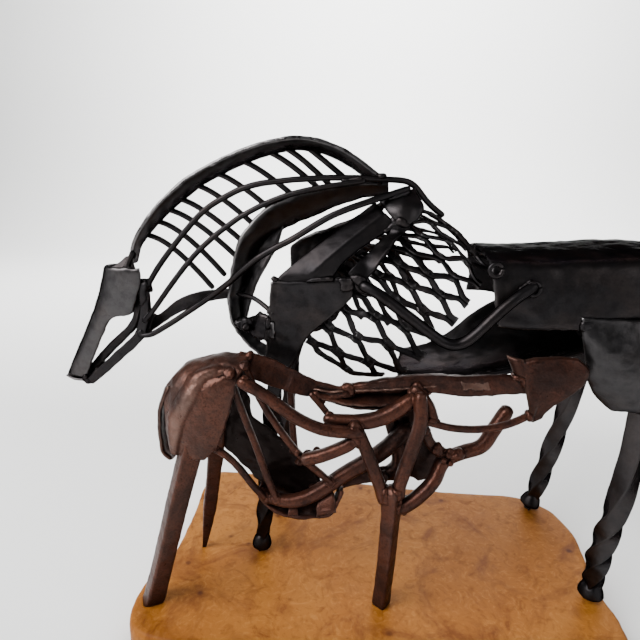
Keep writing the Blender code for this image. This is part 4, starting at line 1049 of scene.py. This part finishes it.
def haunch():
    rows = [[(-31, -45, 159.5), (-45, -45, 159), (-56, -45, 157), (-66, -45, 152.5), (-75, -45, 143)],
            [(-31, -52, 158.5), (-45, -53, 158.5), (-56, -53, 156), (-66.5, -53, 151), (-75.5, -53, 141)],
            [(-32, -58, 155.5), (-45.5, -59.5, 155), (-56.5, -60, 151.5), (-67.5, -59.5, 146),
             (-75.5, -57, 136)],
            [(-35.5, -61, 149), (-48, -63, 147), (-58, -63, 143.5), (-68.5, -61.5, 137), (-74.5, -59, 130)],
            [(-37, -62, 141), (-49, -64, 138), (-59, -64, 135), (-68.5, -62.5, 129), (-73, -60.5, 124)],
            [(-40, -62, 131), (-50, -64.5, 128), (-60, -64.5, 126), (-68.5, -63, 121), (-72, -61, 117)],
            [(-43.5, -62, 121), (-51.5, -63.5, 118), (-60, -63.5, 116), (-67, -62.5, 113), (-70.5, -61, 111)],
            [(-47.5, -61.5, 113.5), (-53, -62.5, 108), (-60, -62.5, 107), (-65, -62, 108),
             (-68.5, -61.5, 108.5)]]
    formedSheet("foal_haunch", "foal_rump_sheet foal_thigh_plate_near", rows, 2.2, dent=0.4, ragged=0.9,
                spacing=0.8, seed=15.0, shape=haunchShape)
    rows = [lane(-47, (-31, 158.5), (-45, 158.5), (-56, 156.5), (-66, 151.5), (-74.5, 142)),
            [(-31, -40, 156.5), (-45, -40, 157), (-56, -40, 154.5), (-67, -41, 149), (-75.5, -42, 139.5)],
            [(-33, -34.5, 151.5), (-46, -33.5, 151), (-58, -33.5, 148), (-69, -35, 142), (-76, -38, 133.5)]]
    formedSheet("foal_far_rump", "foal_rump_sheet", rows, dent=0.6, ragged=0.5, seed=16.0)
    rows = [[(-70, -34.6, 143), (-56, -33.6, 149), (-40, -34.6, 152)],
            [(-74, -34.6, 134), (-58, -32.1, 138), (-38, -34.6, 142)],
            [(-74, -34.6, 121), (-59, -32.1, 125), (-43, -34.6, 127)],
            [(-71, -34.6, 109), (-58, -33.1, 108), (-46, -34.6, 115)]]
    formedSheet("foal_far_thigh", "foal_thigh_plate_far", rows, 2.2, dent=0.6, ragged=0.8, seed=17.0)
    rows = [[(-72.5, -56, 143.5), (-75, -50, 142.5), (-74, -42, 142.5)],
            [(-77, -57, 132.6), (-79.3, -50, 132), (-78, -41, 132)],
            [(-78.6, -57, 124), (-80.8, -50, 124), (-79, -40, 124)],
            [(-79.2, -56.5, 114.7), (-80.8, -50, 114), (-79, -41, 114)],
            [(-78.8, -56, 106), (-79, -50, 105), (-77, -43, 104.5)],
            [(-75.3, -55, 101.5), (-76, -50, 99.8), (-75, -45, 100.5)]]
    formedSheet("foal_tail_lip", "foal_tail_strip", rows, 2.4, ragged=0.5, seed=27.0)


haunch()

# turns, and how much stouter than its core at the top and at the foot
foalLegs = {"foal_hind_leg_near": ([0.35], [1.3, 1.35]),
            "foal_hind_leg_far": ([0.45], [1.7, 1.6, 1.45, 1.4, 1.55, 1.2, 0.7]),
            "foal_fore_leg_near": ([0.15], [1.12, 1.12])}
for name, (turns, stout) in foalLegs.items():
    path, radius, turn = rodLine(name, turns=turns, runOn=(2.5, 0.3), fat=1)
    stout = stout if path[0, 2] > path[-1, 2] else stout[::-1]
    drawnPiece(name.replace("_leg", "_limb"), name, [(path, radius * spread(stout, len(path)), turn)],
               corner=0.32, dent=0.8, seed=len(name))


def foalTopline():
    spine = lane(-48, (-37, 157.5), (-16, 149.5), (-3, 144.8), (10, 142.4), (22, 142.8))
    sweptBar("foal_back_strap", "foal_spine_strap", spine, [(0, 0.35, 1)], [10, 13.5, 11, 8, 5], 2.8, cup=1.0,
             corner=0.3, dent=0.8, seed=18.0)
    rows = [[(6, -50, 139), (20, -51, 136), (34, -51, 135.5), (48, -50, 138.5)],
            [(8, -45, 139), (20, -45.5, 135.8), (34, -45.5, 135), (47, -45, 138.5)],
            lane(-40, (9, 139), (20, 136), (34, 135.5), (45, 138.5))]
    formedSheet("foal_withers_scoop", "foal_withers_leaf", rows, ragged=0.5, seed=19.0)
    # under the strap a fold of it hangs to a lip
    rows = [[(2, -49, 143.5), (13, -49.5, 143), (28, -49.5, 144.5), (43, -49.5, 146), (62, -49.5, 148.5)],
            [(1.5, -46, 142), (13, -45, 140.5), (25, -44.5, 140.5), (42, -45, 142), (62, -46.5, 147)],
            [(0.5, -51, 140.8), (12, -52, 138.8), (24, -52.3, 137.6), (41, -51.5, 137.8), (60, -49.5, 144)]]
    formedSheet("foal_strap_fold", "foal_withers_leaf foal_neck_bar", rows, ragged=0.6, spacing=1.0,
                seed=28.0)
    neck = lane(-47, (17, 143.5), (40, 147), (60, 149), (78, 148.5), (105, 151))
    sweptBar("foal_neck", "foal_neck_bar", neck, [(0, 0, 1)], [4, 8, 9.6, 10.4, 9.4], 5, corner=0.4, dent=0.6,
             seed=20.0)
    rows = [[(101.5, -49.5, 162.5), (107, -50, 164.5), (113, -50.3, 165.3), (119, -50.3, 165.8),
             (126, -50, 165.5)],
            [(102.5, -49.5, 159), (109, -50.4, 160.5), (116, -51, 161.5), (124, -51, 162), (131, -50, 161)],
            [(103.8, -50, 154), (110, -50.8, 155.5), (117, -51.4, 156.5), (125, -51.3, 157),
             (131.3, -50.3, 156.8)],
            [(105.3, -51.5, 148.5), (110.5, -50.8, 149.5), (117, -51, 150.5), (123, -51, 151),
             (128.5, -50.5, 151.3)],
            [(107, -52, 142), (110.5, -50.6, 142.5), (114, -50.6, 143.5), (117, -50.6, 143.8),
             (120, -50.4, 144)],
            [(107.8, -51.5, 138), (109.5, -50.4, 138), (111.5, -50.4, 138.3), (113.3, -50.4, 138.4),
             (115, -50.3, 138.6)],
            [(107.2, -51, 135.5), (108.5, -50.4, 134.2), (110, -50.4, 133.4), (111.5, -50.4, 133.8),
             (113, -50.3, 134.6)]]
    formedSheet("foal_face", "foal_head_plate", rows, 3.6, ragged=0.3, seed=21.0)
    rows = [[(95.8, -47, 164.6), (98.5, -49.6, 164.4), (102, -50.4, 164)],
            [(97.4, -47.4, 161), (99.8, -50.2, 160.6), (103, -50.8, 160.2)],
            [(99, -48, 156.8), (101.2, -50.6, 156.2), (104, -51, 155.6)]]
    formedSheet("foal_ear_fold", "foal_ear", rows, 1.8, dent=0.3, spacing=0.8)
    rows = [[(75, -49.3, 151.6), (81, -49.5, 151.8), (87.5, -49.3, 151.8)],
            [(75.3, -49.9, 147), (81, -50, 147.2), (88, -49.8, 147.4)]]
    formedSheet("foal_neck_patch", "foal_neck_bar", rows, 1.0, dent=0.7, ragged=1.2, spacing=0.8)


foalTopline()

# rods forged stouter than their cores, all alike but for two
foalRods = ("throat_rod", "shoulder_rod_front", "shoulder_rod_rear", "chest_rod", "back_rod", "side_rod",
            "rib_1", "rib_2", "rib_3", "rib_strut", "rib_far", "elbow_rod", "belly_rod", "fore_leg_far")
stoutness = {"rib_strut": 0.8, "rib_far": 1.1}
elbow = [(-3, -61, 109.8), (3.4, -61, 111.6), (11.2, -61.5, 115), (18.8, -61.5, 119.1), (25, -61, 123.4)]
for title in foalRods:
    name = "foal_" + title
    line = rodLine(name, fat=stoutness.get(title, 1.28)) if title != "elbow_rod" else roundLine(elbow, 3.2)
    drawnPiece("foal_forged_" + title, name, [line], corner=0.8, dent=0.5, seed=len(name) + ord(title[1]))

arm = [(101, -41, 136), (94, -43, 124), (88, -45, 115), (78, -46, 111), (69, -49, 107), (64, -54, 98.5),
       (57.5, -56.5, 91.5), (51, -58, 86.3), (45, -59, 83.5)]
crook = [(69, -48.5, 110), (62, -49, 117), (58.5, -50, 125)]
drawnPiece("foal_raised_bar", "foal_raised_rod", [roundLine(arm, 3.5), roundLine(crook, 2.7)], corner=0.85,
           dent=0.4)


# the far foreleg is folded up: a torn plate for its upper half and a slat for its lower half
def foldedForeleg():
    rows = [[(40, -37.5, 137), (47, -38, 137), (54, -37.5, 136)],
            [(41, -38, 128), (49, -39.5, 128), (57, -38, 127)],
            [(42.5, -38, 118), (52, -40, 118), (61.5, -38.5, 117)],
            [(45.5, -38.5, 107), (56, -40.5, 107), (66.5, -39, 107)],
            [(49, -39, 98), (58, -41, 97), (66.5, -40, 98)],
            [(53, -40, 92), (58, -41, 90.5), (63, -40.5, 92)]]
    formedSheet("foal_forearm", "foal_fore_leg_far", rows, 2.4, dent=1.0, ragged=1.2, seed=29.0)
    slat = [(-1, -39, 78.5), (12, -39.5, 83), (24, -40, 88), (34, -40, 91), (44, -40, 93)]
    sweptBar("foal_cannon_slat", "foal_fore_leg_far", slat, [(0, 0.3, 1)], [5, 7, 7, 7.5, 8], 3.2, corner=0.7,
             dent=0.6, seed=30.0)


foldedForeleg()


def foalUnder():
    strip = lane(-48, (-27.5, 85), (-23.5, 77.5), (-13, 73.2), (-2, 72.6), (9.5, 74), (14, 80), (17, 87))
    sweptBar("foal_belly_shoe", "foal_belly_strip", strip, [(0, 1, 0)], [8, 14, 17, 17, 16, 14, 10], 2.2,
             cup=-0.8, corner=0.3, dent=0.6, seed=22.0)
    post = [(-9, -50.3, 80.5), (-8.6, -54, 76.5), (-8.4, -56.2, 73.8)]
    sweptBar("foal_shoe_post", "foal_belly_strip", post, [(1, 0, 0)], [4, 4.5, 6], 2, dent=0.3)
    rows = [[(3.5, -50.3, 82), (11, -50.3, 87)], [(4, -53.5, 78), (13.6, -53, 82.5)],
            [(4.6, -56, 74), (14.2, -55.6, 77)]]
    formedSheet("foal_shoe_cheek", "foal_belly_strip", rows, 1.8, dent=0.6, ragged=0.4, spacing=1.0)
    rows = [lane(-37, (-41, 139), (-38, 135.5), (-35, 132)), lane(-37, (-48, 126), (-41, 124), (-34, 121)),
            lane(-37, (-52, 104), (-38, 108), (-24, 112)), lane(-37, (-45, 95), (-26, 97), (-8, 99)),
            lane(-37, (-33, 82), (-15, 84), (2, 85.5)), lane(-37, (-20, 72), (-6, 67.5), (8, 72))]
    formedSheet("foal_far_flank", "foal_side_plate_far", rows, dent=1.0, ragged=1.0, seed=23.0)


foalUnder()
print("foal formed")


# the welds: beads wherever two nodes of one animal touch, but for these, and bigger knots of weld

unwelded = (("foal_rump_sheet", "foal_thigh_plate_far"), ("foal_rump_sheet", "foal_tail_strip"),
            ("foal_thigh_plate_near", "foal_tail_strip"), ("foal_ear", "foal_head_plate"),
            ("mare_forehead_link", "mare_mane_comb"))
weld = {"mare": {"bead": 1.6, "lump": 0.6, "knots": [(-39, -24, 168, 3)]},
        "foal": {"bead": 1.75, "lump": 0.8,
                 "knots": [(70.5, -49.5, 110.5, 5.2), (65, -50, 115, 3.8), (76, -50, 112.5, 3.4),
                           (46, -52, 84, 5), (45.5, -54, 87.5, 6), (48.5, -54, 82.5, 4.8),
                           (43.5, -52, 78, 4.2), (38.5, -42, 91.5, 4), (-2, -44, 102.5, 3.6),
                           (-6.5, -44, 98.5, 2.8), (3, -44, 105.5, 2.6), (58.5, -50, 125, 3)]}}


def weldPoints(slot, spacing=1.3 * mm, reach=0.95 * mm):
    groups = [names for _, names, s in pieces.values() if s == slot]
    apart = {(a, b) for _, names, _ in pieces.values() for a in names for b in names}
    apart |= {pair for a, b in unwelded for pair in ((a, b), (b, a))}
    trees, clouds, boxes = {}, {}, {}
    for name in sorted({name for names in groups for name in names}):
        mesh = nodes[name].data
        mesh.calc_loop_triangles()
        trees[name] = BVHTree.FromPolygons([v.co for v in mesh.vertices],
                                           [tuple(t.vertices) for t in mesh.loop_triangles])
        clouds[name] = surfacePoints(name, 0.9 * mm)[0]
        low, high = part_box(name)
        boxes[name] = (np.array(low) - reach, np.array(high) + reach)
    kept = {}                            # one point in each small cube
    for a in trees:
        for b in trees:
            (lowA, highA), (lowB, highB) = boxes[a], boxes[b]
            if (a, b) in apart or (lowA > highB).any() or (lowB > highA).any():
                continue
            for p in clouds[a][((clouds[a] > lowB) & (clouds[a] < highB)).all(1)]:
                hit = trees[b].find_nearest(Vector(p), reach)[0]
                if hit is not None:
                    spot = (np.array(hit) + p) / 2
                    kept.setdefault(tuple(np.round(spot / spacing).astype(int)), spot)
    return np.array(list(kept.values()))


# each knot is a lumpy ball of beads, whose own thickness comes off its size
def knotSpots(knots, beads=14, ownSize=1.6, lumps=0.3):
    spots = []
    for x, y, z, size in knots:
        for k in range(beads):
            tall, a = 1 - (2 * k + 1) / beads, goldenTurn * k
            wide = math.sqrt(1 - tall * tall)
            out = np.array((wide * math.cos(a), wide * math.sin(a), tall)) * max(size - ownSize, 0.5)
            spots.append(out * (1 + lumps * math.sin(5 * a)) + (x, y, z))
    return placed(np.array(spots))


def weldTree():
    tree, given = geometryTree("weld bead", {"Bead": 1.5 * mm, "Voxel": 0.45 * mm, "Lump": 0.5 * mm,
                                             "Lump Size": 3 * mm})
    points = shaped(tree, "MeshToPoints", {"Mesh": given["Geometry"], "Radius": given["Bead"]})
    cloud = shaped(tree, "PointsToVolume", {"Points": points, "Voxel Size": given["Voxel"],
                                            "Radius": given["Bead"]}, resolution_mode="VOXEL_SIZE")
    skin = shaped(tree, "VolumeToMesh", {"Volume": cloud, "Voxel Size": given["Voxel"], "Threshold": 0.1},
                  resolution_mode="VOXEL_SIZE")
    place = shaped(tree, "InputPosition")
    eased = shaped(tree, "BlurAttribute", {"Value": place, "Iterations": 8, "Weight": 1.0},
                   data_type="FLOAT_VECTOR")
    skin = shaped(tree, "SetPosition", {"Geometry": skin, "Position": eased})
    return ended(tree, lumpySkin(tree, skin, place, given["Lump Size"], given["Lump"]), given["Steel"])


weldBead = weldTree()
hot = []
for animal, look in weld.items():
    spots = np.concatenate([weldPoints(slotOf[animal]), knotSpots(look["knots"])])
    hot += list(spots)
    beads = grown(animal + "_welds", "", spots, [], {}, weldBead,
                  {"Bead": look["bead"] * mm, "Lump": look["lump"] * mm, "Lump Size": 3 * mm})
    print("welds on the", animal, len(spots), len(beads.data.polygons))


# heat tint, painted shade, and places lightened as wear and as painted sheen and highlight, laid on the
# meshes for the finishes

# how far weld heat tints; how far rays look for painted shade, how many, how far above the skin they start
# and how much a far hit counts less; the share of heat that cool rods take; the strength of scorch marks; the
# painted highlight on cut edges and how narrow it is on flat bars; the painted light all over the haunch and
# the extra along its fold
patinaAndLightLook = {"heatReach": 4.5 * mm, "shadeReach": 38 * mm, "rays": 9, "lift": 0.4, "shadeFall": 0.6,
              "coolShare": 0.25, "scorch": 0.9, "edge": 0.3, "edgePower": 12, "haunchLit": 0.08,
              "foldLightening": 0.4}
# the least painted shade that a piece has, the share of the painted shade found by rays that it keeps, and
# how much it is lightened all over, as rubbing on the foal's neck patch and as painted sheen and highlight on
# the rest
leastShade = {"foal_far_flank": 0.72, "foal_forearm": 0.6, "foal_cannon_slat": 0.45, "foal_far_thigh": 0.6,
         "foal_far_rump": 0.5, "foal_withers_scoop": 0.5, "foal_back_strap": 0.38, "foal_face": 0.45,
         "foal_ear_fold": 0.42, "foal_neck": 0.32, "foal_tail_lip": 0.35, "mare_shoulder_fold": 0.8,
         "mare_shoulder_strap": 0.85, "mare_withers_cap": 0.4, "mare_side_hook": 0.45,
         "mare_long_rod_upper": 0.4, "mare_long_rod_middle": 0.4, "mare_long_rod_lower": 0.4}
shadeShare = {"mare_mane_bar": 0.15, "mare_chest_hoop": 0.3, "mare_throat_strip": 0.4, "mare_belly": 0.4,
        "mare_back": 0.5, "mare_hoop_lining": 0.5}
lightenedAllOver = {"foal_neck_patch": 0.28, "foal_hind_limb_near": 0.07, "foal_hind_limb_far": 0.07,
          "foal_fore_limb_near": 0.05, "mare_face": 0.16, "mare_mane_bar": 0.13, "mare_chest_hoop": 0.09,
          "mare_hoop_lining": 0.05, "mare_withers_cap": 0.05, "mare_belly": 0.06, "mare_thigh_near": 0.1,
          "mare_hind_limb_near": 0.06, "mare_hind_limb_far": 0.06}
# these flat bars get painted highlight lines along their two long edges
edgeLit = {"mare_chest_hoop", "mare_mane_bar", "mare_throat_strip"}      # flat bars with bright edges
cool = {"mare_long_rod_upper", "mare_long_rod_middle", "mare_long_rod_lower"}
scorched = [(Vector(placed(place)), size * mm) for place, size in (
    ((12, -6, 237), 17), ((14, -32, 186), 13), ((2, -14, 146), 12), ((143, -43, 168), 17),
    ((143, -43, 180), 14))]


# how far the haunch is lightened: a little all over, as painted light on its lit side, and more in a band
# along the fold's crease
def foldLightening(place):
    x, z = place.x / mm - planShift[0], place.z / mm
    past, band = pastFold(x, z)
    bright = float(np.clip(-past / 1.0, 0, 1) * np.clip((past + band) / 1.5 + 0.5, 0, 1))
    if place.y / mm - planShift[1] > -55 or z > 156:
        bright = 0
    return patinaAndLightLook["haunchLit"] + bright * patinaAndLightLook["foldLightening"]


# how much each point is lightened: rubbing on the foal's neck patch, painted sheen and highlight on the other
# listed pieces, and painted highlight lines on cut rims and bar edges
def rubAndSheenOf(name, mesh):
    rub = [lightenedAllOver.get(name, 0)] * len(mesh.vertices)
    if name == "foal_haunch":
        rub = [foldLightening(v.co) for v in mesh.vertices]
    # the cut rims of sheets are lightened as painted highlight lines
    rimStart = firstRim.get(name, len(rub))
    rub[rimStart:] = [patinaAndLightLook["edge"]] * (len(rub) - rimStart)
    # painted highlight lines along the flat bars' long edges
    if name in edgeLit:
        across = [abs(c) ** patinaAndLightLook["edgePower"] for c, _ in barSection]
        rub = [patinaAndLightLook["edge"] * across[i % len(across)] + r for i, r in enumerate(rub)]
    return rub


def heatOf(name, mesh, welds):
    heat = [math.exp(-welds.find(v.co)[2] / patinaAndLightLook["heatReach"]) for v in mesh.vertices]
    if name.startswith("mare"):
        heat = [max([h] + [patinaAndLightLook["scorch"] * math.exp(-((v.co - middle).length / size) ** 2)
                           for middle, size in scorched]) for h, v in zip(heat, mesh.vertices)]
    return [h * patinaAndLightLook["coolShare"] for h in heat] if name in cool else heat


# painted shade: each point is darkened by the share of short rays from it that hit other pieces, less for far
# hits, as shade falls in crevices and between parts
def paintedShadeOf(name, mesh, solid):
    rays, reach = patinaAndLightLook["rays"], patinaAndLightLook["shadeReach"]
    turns = [(math.sqrt((k + 0.5) / rays), goldenTurn * k) for k in range(rays)]
    around = [Vector((r * math.cos(a), r * math.sin(a), math.sqrt(1 - r * r))) for r, a in turns]
    soot = []
    for v in mesh.vertices:
        turn = Vector((0, 0, 1)).rotation_difference(v.normal)
        start = v.co + v.normal * patinaAndLightLook["lift"] * mm
        hits = [solid.ray_cast(start, turn @ way, reach)[3] for way in around]
        shut = sum(1 - h / reach * patinaAndLightLook["shadeFall"] for h in hits if h is not None) / rays
        soot.append(max(shut * shadeShare.get(name, 1), leastShade.get(name, 0)))
    return soot


def patinaAndLight():
    welds = KDTree(len(hot))
    for i, p in enumerate(hot):
        welds.insert(p, i)
    welds.balance()
    verts, faces = [], []
    for piece, _, _ in pieces.values():
        faces += [tuple(i + len(verts) for i in p.vertices) for p in piece.data.polygons]
        verts += [v.co for v in piece.data.vertices]
    solid = BVHTree.FromPolygons(verts, faces)
    for name, (piece, _, slot) in pieces.items():
        if slot == slotOf["burl"]:
            continue
        mesh = piece.data
        for title, values in (("heat", heatOf(name, mesh, welds)), ("soot", paintedShadeOf(name, mesh, solid)),
                              ("rub", rubAndSheenOf(name, mesh))):
            mesh.attributes.new(title, "FLOAT", "POINT").data.foreach_set("value", values)


patinaAndLight()
print("patina laid")
triangles = 0
for name, (piece, replaced, slot) in pieces.items():
    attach(piece, "root")
    if replaced:
        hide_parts(*replaced)
    triangles += sum(len(p.vertices) - 2 for p in piece.data.polygons)
print(len(pieces), "pieces,", triangles, "triangles")
